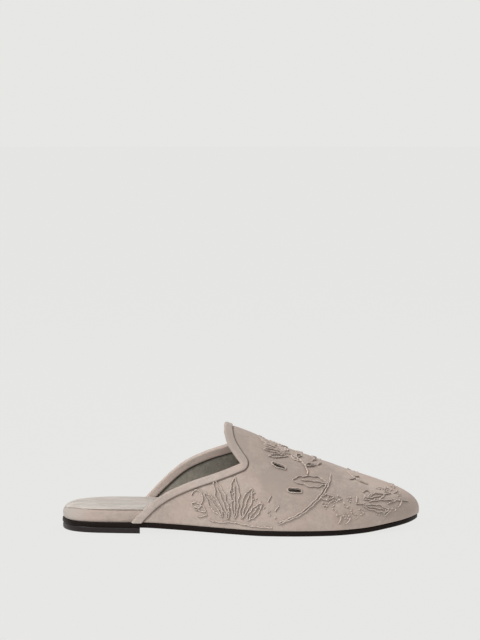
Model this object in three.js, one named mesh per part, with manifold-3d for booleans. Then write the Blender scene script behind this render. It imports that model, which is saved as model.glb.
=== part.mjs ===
// A flat suede mule for a right foot: a hollow vamp with a bound topline, a padded and wrapped
// footbed with a sock on it, a leather outsole and a low heel lift.
// Millimetres. +X runs from heel to toe, +Y towards the inner (medial) side of the foot, +Z up.
// The shoe stands on the floor at Z = 0.

import * as THREE from 'three';
import { mergeVertices } from 'three/addons/utils/BufferGeometryUtils.js';
import Module from 'manifold-3d';

const wasm = await Module();
wasm.setup();

// Driving dimensions
const LAST_LENGTH = 256.5; // heel point to toe tip of the last's bottom
const BALL_WIDTH = 83; // widest stretch of the last's bottom
const INSTEP_HEIGHT = 76; // floor to the crest of the vamp at its top edge
const HEEL_HEIGHT = 7.8; // floor to the top of the outsole under the heel
const TOE_SPRING = 5.7; // floor to the underside of the outsole at the toe tip
const OUTSOLE_THICKNESS = 3.6;
const UPPER_WALL = 1.8; // suede and lining together
const SOCK_THICKNESS = 1.6;
const BINDING_WIDTH = 5.7; // of the band that shows on each side of the topline
const BINDING_FLARE = 0.6; // added to that width where the band reaches the sole
const BINDING_LEATHER = 0.8; // one layer of the folded band
const HEEL_LENGTH = 57; // heel point to the breast of the heel lift
const BREAST_HOLLOW = 3; // depth of the control point of the breast's curve
const GAP = 0.3; // between curved pieces that meet

const LIFT_HEIGHT = HEEL_HEIGHT - OUTSOLE_THICKNESS;
const FEATHER_MARGIN = GAP + UPPER_WALL; // last's bottom to the outside of the upper
const PERCENT = 1 / 100;

// Outline of the last's bottom: along in % of the length, the half widths to the outer (lateral)
// and inner (medial) side in % of the ball width.
const OUTLINE = [
  { along: 2.35, lateral: 20.7, medial: 20.7 },
  { along: 7.0, lateral: 30.8, medial: 30.8 },
  { along: 15, lateral: 35.2, medial: 34.9 },
  { along: 24, lateral: 36.1, medial: 33.5 },
  { along: 36, lateral: 39.2, medial: 31.1 },
  { along: 47, lateral: 44.8, medial: 33.7 },
  { along: 57, lateral: 49.6, medial: 41.0 },
  { along: 66, lateral: 51.3, medial: 47.5 },
  { along: 74.5, lateral: 48.2, medial: 49.2 },
  { along: 82.3, lateral: 41.2, medial: 46.0 },
  { along: 89.2, lateral: 30.8, medial: 39.0 },
  { along: 94.7, lateral: 18.6, medial: 30.6 },
  { along: 98.2, lateral: 6.5, medial: 21.7 },
];
const TOE_TIP_OFFSET = 7.8 * PERCENT * BALL_WIDTH; // the tip lies on the big toe's side

// Underside of the outsole: shares of the heel lift's height and of the toe spring.
const SOLE_LINE = [
  { along: 0, heel: 1, spring: 0 },
  { along: 23, heel: 1, spring: 0 },
  { along: 31, heel: 0.78, spring: 0 },
  { along: 40, heel: 0.46, spring: 0 },
  { along: 51, heel: 0.12, spring: 0 },
  { along: 57, heel: 0, spring: 0 },
  { along: 75, heel: 0, spring: 0 },
  { along: 84, heel: 0, spring: 0.13 },
  { along: 92, heel: 0, spring: 0.5 },
  { along: 96, heel: 0, spring: 0.72 },
  { along: 100, heel: 0, spring: 1 },
];

// Thickness of the padded footbed, and how far the outsole stands out past the last's bottom.
const BOTTOM_STACK = [
  { along: 0, footbed: 6.8, margin: 0.4 },
  { along: 4, footbed: 8.4, margin: 0.4 },
  { along: 14, footbed: 8.8, margin: 0.5 },
  { along: 26, footbed: 8.6, margin: 2.1 },
  { along: 40, footbed: 6.5, margin: 2.3 },
  { along: 55, footbed: 4.2, margin: 2.3 },
  { along: 96, footbed: 3.6, margin: 2.0 },
  { along: 100, footbed: 3.6, margin: 1.3 },
];

// Crest of the upper: height in % of the instep, lean to the inner side in % of the ball width,
// and the form of each rib: handle shares at its foot and crest, and its bulge in millimetres.
const CREST = [
  { along: 14, height: 117, lean: 0, foot: 0.5, crest: 0.56, bulge: 0.4 },
  { along: 36, height: 112.5, lean: -1, foot: 0.49, crest: 0.58, bulge: 1.1 },
  { along: 45.7, height: 100.3, lean: 0, foot: 0.48, crest: 0.6, bulge: 1.6 },
  { along: 52.5, height: 91.9, lean: 1, foot: 0.48, crest: 0.61, bulge: 1.9 },
  { along: 61, height: 78.8, lean: 2.4, foot: 0.48, crest: 0.61, bulge: 2 },
  { along: 72, height: 65.3, lean: 4, foot: 0.48, crest: 0.62, bulge: 1.9 },
  { along: 81.4, height: 53.7, lean: 5.6, foot: 0.48, crest: 0.61, bulge: 1.8 },
  { along: 88, height: 46.3, lean: 6.6, foot: 0.46, crest: 0.66, bulge: 3.4 },
];
const UPPER_START = 15; // the rearmost rib, behind the collar's edge, in % of the length
const TRIM_DEPTH = 2; // the ribs reach this far below the feather edge and are trimmed there
const FAN_START = 165; // from here on the ribs fan out round the toe
const FAN_DEPTH = 33; // the foremost rib meets the crest this far behind the toe tip

// Edge of the collar in side view, from the peak of the vamp down to the throat and back along the
// topline to the sole: along in % of the length, height in % of the instep. Both sides share the
// first rows of the tongue and have as many of them, so that they meet evenly on the crest.
const COLLAR = {
  lateral: {
    tongue: [
      { along: 45.8, height: 125 },
      { along: 45.8, height: 105 },
      { along: 45.8, height: 98 },
      { along: 45.8, height: 94.5 },
      { along: 46, height: 91.5 },
      { along: 46.4, height: 86.5 },
      { along: 47.5, height: 79 },
      { along: 50.2, height: 66.6 },
    ],
    topline: [
      { along: 50.2, height: 66.6 },
      { along: 44.2, height: 58.9 },
      { along: 34.4, height: 47.1 },
      { along: 26.6, height: 32.9 },
      { along: 19.6, height: 10.4 },
      { along: 16.6, height: 0 },
    ],
  },
  medial: {
    tongue: [
      { along: 45.8, height: 125 },
      { along: 45.8, height: 105 },
      { along: 45.8, height: 98 },
      { along: 45.8, height: 94.5 },
      { along: 46, height: 91.5 },
      { along: 46.6, height: 88.6 },
      { along: 47.6, height: 85.2 },
      { along: 49.5, height: 80.2 },
    ],
    topline: [
      { along: 49.5, height: 80.2 },
      { along: 45.9, height: 76.2 },
      { along: 39.9, height: 69 },
      { along: 33.3, height: 57.4 },
      { along: 26.8, height: 37.4 },
      { along: 19.6, height: 10.4 },
      { along: 16.6, height: 0 },
    ],
  },
};

// Cutwork slits through the vamp: centre as above, tilt in degrees in side view.
const SLITS = [
  { side: 'lateral', along: 61, height: 63.3, tilt: -20 },
  { side: 'lateral', along: 65.3, height: 42.1, tilt: -5 },
  { side: 'medial', along: 61.8, height: 65, tilt: -18 },
  { side: 'medial', along: 67.6, height: 44.6, tilt: -8 },
];
const SLIT_LENGTH = 9.2;
const SLIT_WIDTH = 2.2;

// Mesh steps
const SOLE_STEPS = 56; // stations from heel to toe
const UPPER_STEPS = 42; // ribs from the back of the collar to the toe
const RIB_STEPS = 10; // from the feather edge to the crest
const CORNER_STEPS = 6; // round the throat of an offset collar line
const TANGENT_STEP = 1e-4; // of a turn round the outline
const HALVINGS = 30; // of the search for a station
const COLLAR_STEPS = { tongue: 14, topline: 20 };
const SLIT_END_STEPS = 4; // round each end of a slit
const WELD = 1e-4; // points nearer than this are one
const FAR = 100; // past every surface, for cutters

const SUEDE = { color: 0xb0a296, roughness: 0.95, metalness: 0 };
const SOCK_SUEDE = { color: 0xbdb4aa, roughness: 0.95, metalness: 0 };
const BINDING_SUEDE = { color: 0xb4a79b, roughness: 0.9, metalness: 0 };
const DARK_LEATHER = { color: 0x2e2523, roughness: 0.45, metalness: 0 };

// A smooth curve through one column of a table, level between equal rows and held past its ends.
function column(rows, key) {
  const x = rows.map((row) => row.along * PERCENT * LAST_LENGTH);
  const y = rows.map((row) => row[key]);
  const rise = (i) => (y[i + 1] - y[i]) / (x[i + 1] - x[i]);
  const slope = y.map((_, i) => {
    if (i === 0 || i === y.length - 1) return rise(Math.min(i, y.length - 2));
    const product = rise(i - 1) * rise(i);
    return product <= 0 ? 0 : (2 * product) / (rise(i - 1) + rise(i));
  });
  return (at) => {
    const held = THREE.MathUtils.clamp(at, x[0], x[x.length - 1]);
    const i = THREE.MathUtils.clamp(x.findIndex((value) => value > held) - 1, 0, x.length - 2);
    const last = held === x[x.length - 1] ? x.length - 2 : i;
    const width = x[last + 1] - x[last];
    const t = (held - x[last]) / width;
    const keep = (1 + 2 * t) * (1 - t) ** 2;
    const lead = t * (1 - t) ** 2 * width * slope[last];
    const trail = t * t * (t - 1) * width * slope[last + 1];
    return keep * y[last] + (1 - keep) * y[last + 1] + lead + trail;
  };
}

const heelShare = column(SOLE_LINE, 'heel');
const springShare = column(SOLE_LINE, 'spring');
const footbedThickness = column(BOTTOM_STACK, 'footbed');
const outsoleMargin = column(BOTTOM_STACK, 'margin');
const crestHeight = column(CREST, 'height');
const crestLean = column(CREST, 'lean');
const footHandle = column(CREST, 'foot');
const crestHandle = column(CREST, 'crest');
const ribBulge = column(CREST, 'bulge');

const outsoleBottom = (x) => LIFT_HEIGHT * heelShare(x) + TOE_SPRING * springShare(x);
const outsoleTop = (x) => outsoleBottom(x) + OUTSOLE_THICKNESS;
const footbedTop = (x) => outsoleTop(x) + GAP + footbedThickness(x);
const sockTop = (x) => footbedTop(x) + GAP + SOCK_THICKNESS;
const crestZ = (x) => crestHeight(x) * PERCENT * INSTEP_HEIGHT;
const crestY = (x) => crestLean(x) * PERCENT * BALL_WIDTH;

// Closed outline of the last's bottom: heel point, outer side, toe tip, inner side.
const outlinePoint = (row, side) => new THREE.Vector3(
  row.along * PERCENT * LAST_LENGTH,
  row[side] * PERCENT * BALL_WIDTH * (side === 'lateral' ? -1 : 1),
  0,
);
const OUTLINE_CURVE = new THREE.CatmullRomCurve3([
  new THREE.Vector3(0, 0, 0),
  ...OUTLINE.map((row) => outlinePoint(row, 'lateral')),
  new THREE.Vector3(LAST_LENGTH, TOE_TIP_OFFSET, 0),
  ...OUTLINE.map((row) => outlinePoint(row, 'medial')).reverse(),
], true, 'centripetal');

// A point of the outline, station 0 at the heel and 1 at the toe, moved outwards by a margin,
// which is a number or a function of the place along the foot.
function edgePoint(side, station, margin) {
  const turn = side === 'lateral' ? station / 2 : 1 - station / 2;
  const point = OUTLINE_CURVE.getPoint(turn);
  const tangent = OUTLINE_CURVE.getPoint(turn + TANGENT_STEP)
    .sub(OUTLINE_CURVE.getPoint(turn - TANGENT_STEP))
    .normalize();
  const reach = typeof margin === 'function' ? margin(point.x) : margin;
  return new THREE.Vector3(point.x + tangent.y * reach, point.y - tangent.x * reach, 0);
}

// The station whose point on one side lies at a given place along the foot.
function stationAt(side, x) {
  let low = 0;
  let high = 1;
  for (let halving = 0; halving < HALVINGS; halving += 1) {
    const middle = (low + high) / 2;
    if (edgePoint(side, middle, 0).x < x) low = middle;
    else high = middle;
  }
  return low;
}

// Closed solid from a geometry whose pieces share their edges.
function solid(geometry) {
  const bare = geometry.clone();
  bare.deleteAttribute('normal');
  bare.deleteAttribute('uv');
  const merged = mergeVertices(bare, WELD);
  const corners = merged.index.array;
  const kept = [];
  for (let i = 0; i < corners.length; i += 3) {
    const [a, b, c] = corners.slice(i, i + 3);
    if (a !== b && b !== c && c !== a) kept.push(a, b, c);
  }
  return new wasm.Manifold(new wasm.Mesh({
    numProp: 3,
    vertProperties: new Float32Array(merged.attributes.position.array),
    triVerts: new Uint32Array(kept),
  }));
}

function geometryOf(manifold) {
  const mesh = manifold.getMesh();
  const geometry = new THREE.BufferGeometry();
  geometry.setAttribute('position', new THREE.BufferAttribute(mesh.vertProperties, 3));
  geometry.setIndex(new THREE.BufferAttribute(mesh.triVerts, 1));
  geometry.computeVertexNormals();
  return geometry;
}

// Triangles over a grid of points, each row as long as the first.
function gridGeometry(rows, closedRows) {
  const across = rows[0].length;
  const index = [];
  const spans = closedRows ? across : across - 1;
  for (let k = 0; k + 1 < rows.length; k += 1) {
    for (let j = 0; j < spans; j += 1) {
      const a = k * across + j;
      const b = k * across + ((j + 1) % across);
      index.push(a, b, b + across, a, b + across, a + across);
    }
  }
  const geometry = new THREE.BufferGeometry().setFromPoints(rows.flat());
  geometry.setIndex(index);
  return geometry;
}

// A layer of the bottom: the outline moved out by a margin, between two heights. The edge profile
// lists insets from the outline at shares of the thickness, from the bottom up.
function layer({ margin, bottom, top, edge }) {
  const rows = [];
  for (let k = 0; k <= SOLE_STEPS; k += 1) {
    const station = k / SOLE_STEPS;
    const corner = (side, { inset, share }) => {
      const reach = (x) => (typeof margin === 'function' ? margin(x) : margin) - inset;
      const point = edgePoint(side, station, reach);
      point.z = THREE.MathUtils.lerp(bottom(point.x), top(point.x), share);
      return point;
    };
    rows.push([
      ...edge.map((step) => corner('lateral', step)).reverse(),
      ...edge.map((step) => corner('medial', step)),
    ]);
  }
  return solid(gridGeometry(rows, true));
}

// One rib of the upper's outside, a cubic from the feather edge up to the crest. Ahead of the
// fan's start the crest point lags behind, so that the ribs turn round the toe.
function rib(side, station) {
  const foot = edgePoint(side, station, FEATHER_MARGIN);
  const outwards = edgePoint(side, station, FEATHER_MARGIN + 1).sub(foot);
  const middle = (edgePoint('lateral', station, 0).x + edgePoint('medial', station, 0).x) / 2;
  const ahead = Math.max(0, (middle - FAN_START) / (LAST_LENGTH - FAN_START));
  const x = middle - FAN_DEPTH * ahead ** 2;
  const crest = new THREE.Vector3(x, crestY(x), crestZ(x));
  const slope = crestZ(x + 0.5) - crestZ(x - 0.5);
  foot.z = outsoleTop(foot.x);
  const wall = foot.clone().addScaledVector(outwards, ribBulge(x));
  wall.z += footHandle(x) * (crest.z - foot.z);
  const crown = crest.clone().lerp(foot, crestHandle(x));
  crown.z = crest.z + slope * (crown.x - crest.x);
  return new THREE.CubicBezierCurve3(foot, wall, crown, crest);
}

// The upper's outside as a sheet, its sides carried a little below the feather edge for trimming.
function upperSheet() {
  const start = stationAt('lateral', UPPER_START * PERCENT * LAST_LENGTH);
  const below = new THREE.Vector3(0, 0, -TRIM_DEPTH);
  const rows = [];
  for (let k = 0; k <= UPPER_STEPS; k += 1) {
    const station = THREE.MathUtils.lerp(start, 1, k / UPPER_STEPS);
    const [lateral, medial] = ['lateral', 'medial'].map((side) => {
      const points = rib(side, station).getPoints(RIB_STEPS);
      return [points[0].clone().add(below), ...points];
    });
    rows.push([...medial, ...lateral.reverse().slice(1)]);
  }
  return mergeVertices(gridGeometry(rows, false), WELD);
}

// A closed wall between two offsets of a sheet, measured outwards along its normals.
function thicken(sheet, outer, inner) {
  sheet.computeVertexNormals();
  const { position, normal } = sheet.attributes;
  const count = position.count;
  const offsets = [outer, inner];
  const points = offsets.flatMap((offset) => Array.from({ length: count }, (_, i) => (
    new THREE.Vector3().fromBufferAttribute(position, i)
      .addScaledVector(new THREE.Vector3().fromBufferAttribute(normal, i), offset)
  )));
  const corners = Array.from(sheet.index.array);
  const index = [];
  const edges = new Map();
  for (let i = 0; i < corners.length; i += 3) {
    const [a, b, c] = corners.slice(i, i + 3);
    if (a === b || b === c || c === a) continue;
    index.push(a, b, c, a + count, c + count, b + count);
    [[a, b], [b, c], [c, a]].forEach(([from, to]) => edges.set(`${from} ${to}`, [from, to]));
  }
  edges.forEach(([from, to]) => {
    if (edges.has(`${to} ${from}`)) return;
    index.push(to, from, from + count, to, from + count, to + count);
  });
  const geometry = new THREE.BufferGeometry().setFromPoints(points);
  geometry.setIndex(index);
  return solid(geometry);
}

// The collar's edge on one side as points in side view, moved by a distance into the upper, which
// grows by the flare towards the sole. The sharp throat becomes an arc.
function collarLine(side, distance, flare) {
  const curve = (rows) => new THREE.SplineCurve(rows.map((row) => new THREE.Vector2(
    row.along * PERCENT * LAST_LENGTH,
    row.height * PERCENT * INSTEP_HEIGHT,
  )));
  const tongue = curve(COLLAR[side].tongue);
  const topline = curve(COLLAR[side].topline);
  const intoUpper = (tangent) => new THREE.Vector2(-tangent.y, tangent.x);
  const along = (line, steps, spread) => Array.from({ length: steps + 1 }, (_, i) => {
    const t = i / steps;
    const reach = distance + spread * t ** 4;
    return line.getPoint(t).addScaledVector(intoUpper(line.getTangent(t)), reach);
  });
  const throat = topline.getPoint(0);
  const before = intoUpper(tongue.getTangent(1)).angle();
  const after = intoUpper(topline.getTangent(0)).angle() - 2 * Math.PI;
  const corner = distance === 0 ? [] : Array.from({ length: CORNER_STEPS - 1 }, (_, i) => {
    const angle = THREE.MathUtils.lerp(before, after, (i + 1) / CORNER_STEPS);
    return throat.clone().add(new THREE.Vector2(Math.cos(angle), Math.sin(angle)).multiplyScalar(distance));
  });
  const down = along(tongue, COLLAR_STEPS.tongue, 0);
  const back = along(topline, COLLAR_STEPS.topline, flare);
  return [...down, ...corner, ...(distance === 0 ? back.slice(1) : back)];
}

// A side-view outline carried across one half of the shoe.
function throughSide(side, points) {
  const geometry = new THREE.ExtrudeGeometry(new THREE.Shape(points), {
    depth: FAR,
    bevelEnabled: false,
  });
  geometry.rotateX(Math.PI / 2);
  if (side === 'medial') geometry.translate(0, FAR, 0);
  return solid(geometry);
}

// All that lies behind the collar's edge, which is moved into the upper.
function behindCollar(distance, flare = 0) {
  const halves = ['lateral', 'medial'].map((side) => throughSide(side, [
    ...collarLine(side, distance, flare),
    new THREE.Vector2(0, -FAR),
    new THREE.Vector2(-FAR, -FAR),
    new THREE.Vector2(-FAR, 2 * INSTEP_HEIGHT),
  ]));
  return halves[0].add(halves[1]);
}

// A long hole with round ends, cut through one side of the vamp.
function slit({ side, along, height, tilt }) {
  const radius = SLIT_WIDTH / 2;
  const reach = SLIT_LENGTH / 2 - radius;
  const shape = new THREE.Shape();
  shape.absarc(reach, 0, radius, -Math.PI / 2, Math.PI / 2);
  shape.absarc(-reach, 0, radius, Math.PI / 2, 1.5 * Math.PI);
  const turn = THREE.MathUtils.degToRad(tilt);
  const centre = new THREE.Vector2(
    along * PERCENT * LAST_LENGTH,
    height * PERCENT * INSTEP_HEIGHT,
  );
  const points = shape.getPoints(SLIT_END_STEPS).map((point) => (
    point.rotateAround(new THREE.Vector2(), turn).add(centre)
  ));
  return throughSide(side, points);
}

const SQUARE_EDGE = [
  { inset: 0, share: 0 },
  { inset: 0, share: 1 },
];
const TRIMMED_EDGE = [
  { inset: 0.6, share: 0 },
  { inset: 0.1, share: 0.2 },
  { inset: 0, share: 0.55 },
  { inset: 0.3, share: 1 },
];
const WRAPPED_EDGE = [
  { inset: 0.7, share: 0 },
  { inset: 0, share: 0.12 },
  { inset: 0, share: 0.82 },
  { inset: 0.9, share: 1 },
];
const PADDED_EDGE = [
  { inset: 0.9, share: 0 },
  { inset: 0.6, share: 0.35 },
  { inset: 1.3, share: 0.8 },
  { inset: 3, share: 1 },
];

function outsole() {
  return layer({
    margin: outsoleMargin, bottom: outsoleBottom, top: outsoleTop, edge: TRIMMED_EDGE,
  });
}

// The heel lift under the outsole: the outline's back end, with a shallow hollow breast.
function heelLift() {
  const block = layer({
    margin: (x) => outsoleMargin(x) - GAP,
    bottom: () => 0,
    top: () => LIFT_HEIGHT - GAP,
    edge: TRIMMED_EDGE,
  });
  const breast = new THREE.Shape();
  breast.moveTo(HEEL_LENGTH, -FAR);
  breast.lineTo(HEEL_LENGTH, -BALL_WIDTH / 2);
  breast.quadraticCurveTo(HEEL_LENGTH - BREAST_HOLLOW, 0, HEEL_LENGTH, BALL_WIDTH / 2);
  breast.lineTo(HEEL_LENGTH, FAR);
  breast.lineTo(-FAR, FAR);
  breast.lineTo(-FAR, -FAR);
  const back = new THREE.ExtrudeGeometry(breast, { depth: FAR, bevelEnabled: false });
  back.translate(0, 0, -FAR / 2);
  return block.intersect(solid(back));
}

function footbed() {
  return layer({
    margin: 0, bottom: (x) => outsoleTop(x) + GAP, top: footbedTop, edge: WRAPPED_EDGE,
  });
}

function sock() {
  return layer({
    margin: 0,
    bottom: (x) => footbedTop(x) + GAP,
    top: sockTop,
    edge: PADDED_EDGE,
  });
}

// What the upper and its binding stand clear of: the outsole's top and the sides of what is on it.
function bottomClearance() {
  const floor = layer({
    margin: FAR / 10, bottom: () => -FAR, top: (x) => outsoleTop(x) + GAP, edge: SQUARE_EDGE,
  });
  const bed = layer({
    margin: GAP, bottom: outsoleBottom, top: (x) => sockTop(x) + GAP, edge: SQUARE_EDGE,
  });
  return floor.add(bed);
}

const SHEET = upperSheet();
const CLEARANCE = bottomClearance();
const EDGE_FOLD = BINDING_LEATHER + GAP; // the fold of the band past the upper's own edge

function upper() {
  const wall = thicken(SHEET, 0, -UPPER_WALL)
    .subtract(behindCollar(EDGE_FOLD + GAP))
    .subtract(CLEARANCE);
  return SLITS.reduce((cut, row) => cut.subtract(slit(row)), wall);
}

// The folded band over the topline: a thicker wall cut to the band's width, with a channel that
// takes the upper's edge.
function toplineBinding() {
  const proud = GAP + BINDING_LEATHER;
  const channel = thicken(SHEET, GAP, -UPPER_WALL - GAP).subtract(behindCollar(EDGE_FOLD));
  return thicken(SHEET, proud, -UPPER_WALL - proud)
    .intersect(behindCollar(BINDING_WIDTH, BINDING_FLARE))
    .subtract(behindCollar(0))
    .subtract(channel)
    .subtract(CLEARANCE);
}

const PIECES = {
  outsole: [outsole, DARK_LEATHER],
  heel_lift: [heelLift, DARK_LEATHER],
  footbed: [footbed, SUEDE],
  sock: [sock, SOCK_SUEDE],
  upper: [upper, SUEDE],
  topline_binding: [toplineBinding, BINDING_SUEDE],
};

const mule = new THREE.Group();
Object.entries(PIECES).forEach(([name, [make, finish]]) => {
  const mesh = new THREE.Mesh(geometryOf(make()), new THREE.MeshStandardMaterial(finish));
  mesh.name = name;
  mule.add(mesh);
});

// The origin is on the floor, under the middle of the shoe's box.
const middle = new THREE.Box3().setFromObject(mule).getCenter(new THREE.Vector3());
mule.position.set(-middle.x, -middle.y, 0);

export default mule;
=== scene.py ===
"""Dresses a packed flat mule for a right foot: an embroidered suede upper with a bound topline and a
lining, a wrapped footbed with a sock, a leather outsole and heel lift, and a studio round them.

Metres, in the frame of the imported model: +X from heel to toe, +Y towards the inner side of the foot,
+Z up from the floor."""

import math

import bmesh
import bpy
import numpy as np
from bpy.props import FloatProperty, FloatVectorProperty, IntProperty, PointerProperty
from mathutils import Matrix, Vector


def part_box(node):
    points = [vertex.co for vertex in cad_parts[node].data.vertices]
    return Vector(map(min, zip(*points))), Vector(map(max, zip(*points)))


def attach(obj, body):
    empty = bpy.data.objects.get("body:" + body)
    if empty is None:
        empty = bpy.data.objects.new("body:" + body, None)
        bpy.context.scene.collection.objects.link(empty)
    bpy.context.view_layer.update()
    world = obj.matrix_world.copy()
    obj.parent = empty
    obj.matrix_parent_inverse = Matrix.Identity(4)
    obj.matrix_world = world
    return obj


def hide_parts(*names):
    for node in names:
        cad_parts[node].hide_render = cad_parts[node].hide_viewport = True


bl_info = {
    "name": "Suede mule",
    "version": (1, 0, 0),
    "blender": (4, 5, 0),
    "location": "View3D > Sidebar > Mule",
    "description": "Dresses a packed flat mule with suede, embroidery, leather and a studio",
    "category": "Object",
}

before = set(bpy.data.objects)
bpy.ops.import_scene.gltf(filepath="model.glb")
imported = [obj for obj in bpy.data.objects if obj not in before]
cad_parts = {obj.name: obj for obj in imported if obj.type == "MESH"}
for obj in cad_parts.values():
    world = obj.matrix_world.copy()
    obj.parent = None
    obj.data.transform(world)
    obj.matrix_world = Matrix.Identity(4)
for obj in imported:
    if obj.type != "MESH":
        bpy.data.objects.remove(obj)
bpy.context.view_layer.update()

MM = 0.001
PERCENT = 0.01
LATERAL = "lateral"
MEDIAL = "medial"
SIDES = (LATERAL, MEDIAL)
TURN_STEP = 1e-4
RISE_STEP = 1e-3
HALVINGS = 26
NEWTON_STEPS = 8
FOOT_RISE = 0.004  # where the upper starts on a rib, a little clear of the outsole
TOP_RISE = 0.999  # where stitches stop short of the crest
THROAT_ROOM = 0.35  # share of a step within which a row gives way to a throat's own row
MIDDLE_RISE = 0.45  # line of equal rise along which the columns of the vamp are spaced evenly
SKIN_WELD = 1e-6  # points of the skin nearer than this are one
SEAM_REACH = 0.9 * MM  # how far from the binding's seam the suede is drawn in and shaded
LINING_SINK = 0.3 * MM  # how deep the lining is drawn in at that seam
BONDING = 0.02 * MM  # between the suede and its lining
CUT_REACH = 4 * MM  # how far a slit's cutter reaches to each side of the skin
CUT_STEPS = 33  # points round a slit's cutter
LAYER_STATIONS = 150  # rows from heel to toe of a layer of the bottom
LAYER_COLUMNS = 18  # points across it
RIM_GAP = 0.8 * MM  # from a slit's edge to the stitches round it
BEDDING = {"footbed": 0.05 * MM, "sock": 0.1 * MM, "lift": 0.12 * MM}  # gaps to the layer next to each
HEEL_FADE = (-106 * MM, -127 * MM)  # along the foot, where the wrap turns to the heel's colour
SOCK_FADE = (10 * MM, 28 * MM)  # from the heel point, where the tuck of the sock's edge fades out
LAYER_CORNER = math.radians(50)  # sharper edges of the sole's layers stay sharp
BAND_CORNER = math.radians(60)  # likewise on the binding
FLOOR_RADIUS = 40
FLOOR_RINGS = 24
FLOOR_SPOKES = 64
FLOOR_DROP = 0.2 * MM  # from the sole's underside to the floor
SKY_FADE = (math.radians(9), math.radians(32))  # angles over the horizon between which the sky dims

# Round soft lights: place, target and diameter.
LIGHTS = {
    "key": ((-1.22, -0.71, 1.41), (0, 0, 0.03), 0.7),
    "front": ((-0.3, -1.8, 0.6), (0, 0, 0.03), 1.0),
    "top": ((0.8, 1.0, 1.54), (0.06, 0, 0.03), 1.0),
}


def table(columns, *rows):
    """A short table as one array for each named column."""
    return dict(zip(columns.split(), np.array(rows, float).T))


# Outline of the last's bottom: along in % of the length, half widths in % of the ball width.
OUTLINE = table(
    "along lateral medial",
    (2.35, 20.7, 20.7),
    (7, 30.8, 30.8),
    (15, 35.2, 34.9),
    (24, 36.1, 33.5),
    (36, 39.2, 31.1),
    (47, 44.8, 33.7),
    (57, 49.6, 41),
    (66, 51.3, 47.5),
    (74.5, 48.2, 49.2),
    (82.3, 41.2, 46),
    (89.2, 30.8, 39),
    (94.7, 18.6, 30.6),
    (98.2, 6.5, 21.7),
)
TOE_TIP_OFFSET = 7.8  # % of the ball width, to the inner side

# Underside of the outsole: shares of the heel lift's height and of the toe spring.
SOLE_LINE = table(
    "along heel spring",
    (0, 1, 0),
    (23, 1, 0),
    (31, 0.78, 0),
    (40, 0.46, 0),
    (51, 0.12, 0),
    (57, 0, 0),
    (75, 0, 0),
    (84, 0, 0.13),
    (92, 0, 0.5),
    (96, 0, 0.72),
    (100, 0, 1),
)

# Thickness of the footbed and margin of the outsole past the last's bottom, in millimetres.
BOTTOM_STACK = table(
    "along footbed margin",
    (0, 6.8, 0.4),
    (4, 8.4, 0.4),
    (14, 8.8, 0.5),
    (26, 8.6, 2.1),
    (40, 6.5, 2.3),
    (55, 4.2, 2.3),
    (96, 3.6, 2),
    (100, 3.6, 1.3),
)

# Crest of the upper: height in % of the instep, lean in % of the ball width, and each rib's form:
# handle shares at its foot and crest and its bulge in millimetres.
CREST = table(
    "along height lean foot crest bulge",
    (14, 117, 0, 0.5, 0.56, 0.4),
    (36, 112.5, -1, 0.49, 0.58, 1.1),
    (45.7, 100.3, 0, 0.48, 0.6, 1.6),
    (52.5, 91.9, 1, 0.48, 0.61, 1.9),
    (61, 78.8, 2.4, 0.48, 0.61, 2),
    (72, 65.3, 4, 0.48, 0.62, 1.9),
    (81.4, 53.7, 5.6, 0.48, 0.61, 1.8),
    (88, 46.3, 6.6, 0.46, 0.66, 3.4),
)
FAN_START = 165 * MM
FAN_DEPTH = 33 * MM
UPPER_START = 0.2  # station behind the collar's edge on both sides
INNER_BAND = {"throat": 1.22, "back": 1.02}  # widths inside the collar as shares of the outer band's
INNER_PAINTED_LIGHT = 0.12  # painted light: how much lighter the band is painted inside the collar, where it lies in shade

# Edge of the collar in side view: along in % of the length, height in % of the instep.
TONGUE = {
    LATERAL: table(
        "along height",
        (45.8, 125), (45.8, 105), (45.8, 98), (45.8, 94.5), (46, 91.5), (46.4, 86.5), (47.5, 79),
        (50.2, 66.6),
    ),
    MEDIAL: table(
        "along height",
        (45.8, 125), (45.8, 105), (45.8, 98), (45.8, 94.5), (46, 91.5), (46.6, 88.6), (47.6, 85.2),
        (49.5, 80.2),
    ),
}
TOPLINE = {
    LATERAL: table(
        "along height",
        (50.2, 66.6), (44.2, 58.9), (34.4, 47.1), (26.6, 32.9), (19.6, 10.4), (16.6, 0),
    ),
    MEDIAL: table(
        "along height",
        (49.5, 80.2), (45.9, 76.2), (39.9, 69), (33.3, 57.4), (26.8, 37.4), (19.6, 10.4), (16.6, 0),
    ),
}

# Cutwork slits: centre in side view as above, tilt in degrees.
SLITS = {
    LATERAL: table("along height tilt", (61, 63.3, -20), (65.3, 42.1, -5)),
    MEDIAL: table("along height tilt", (61.8, 65, -18), (67.6, 44.6, -8)),
}

# Embroidery, the same on both sides: along in % of the length, rise in % of a rib, headings in
# degrees from the toe's direction upwards, sizes in millimetres, bend as a share of the length.
LEAVES = table(
    "along rise heading length width bend",
    (45.2, 8, 126, 20, 6.2, 0.16),
    (46.9, 7, 110, 29, 6, 0.1),
    (48.7, 8, 95, 30, 6, 0.02),
    (50.5, 8, 80, 24, 6, -0.06),
    (52.2, 7, 62, 17, 5.4, -0.1),
    (40.6, 10, 152, 12, 4.6, 0.12),
    (74.7, 54, 180, 24, 9, 0.14),
    (84.6, 40, 8, 21, 5.6, 0.1),
    (84.4, 30, -10, 22, 5.6, -0.08),
    (72.4, 36, 4, 10, 4, 0.12),
    (63.4, 77.5, 206, 15, 3.2, 0.06),
    (63, 81, 192, 17, 3.2, 0.08),
    (62.8, 84, 178, 16, 3.2, 0.1),
    (63, 87, 163, 13, 3, 0.12),
    (63.6, 89.5, 144, 9, 2.8, 0.1),
    (66, 81.5, 74, 8, 3, -0.1),
    (68.2, 73, 24, 9, 3.2, 0.1),
    (67.4, 76.5, 168, 8, 3, -0.1),
)
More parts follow.
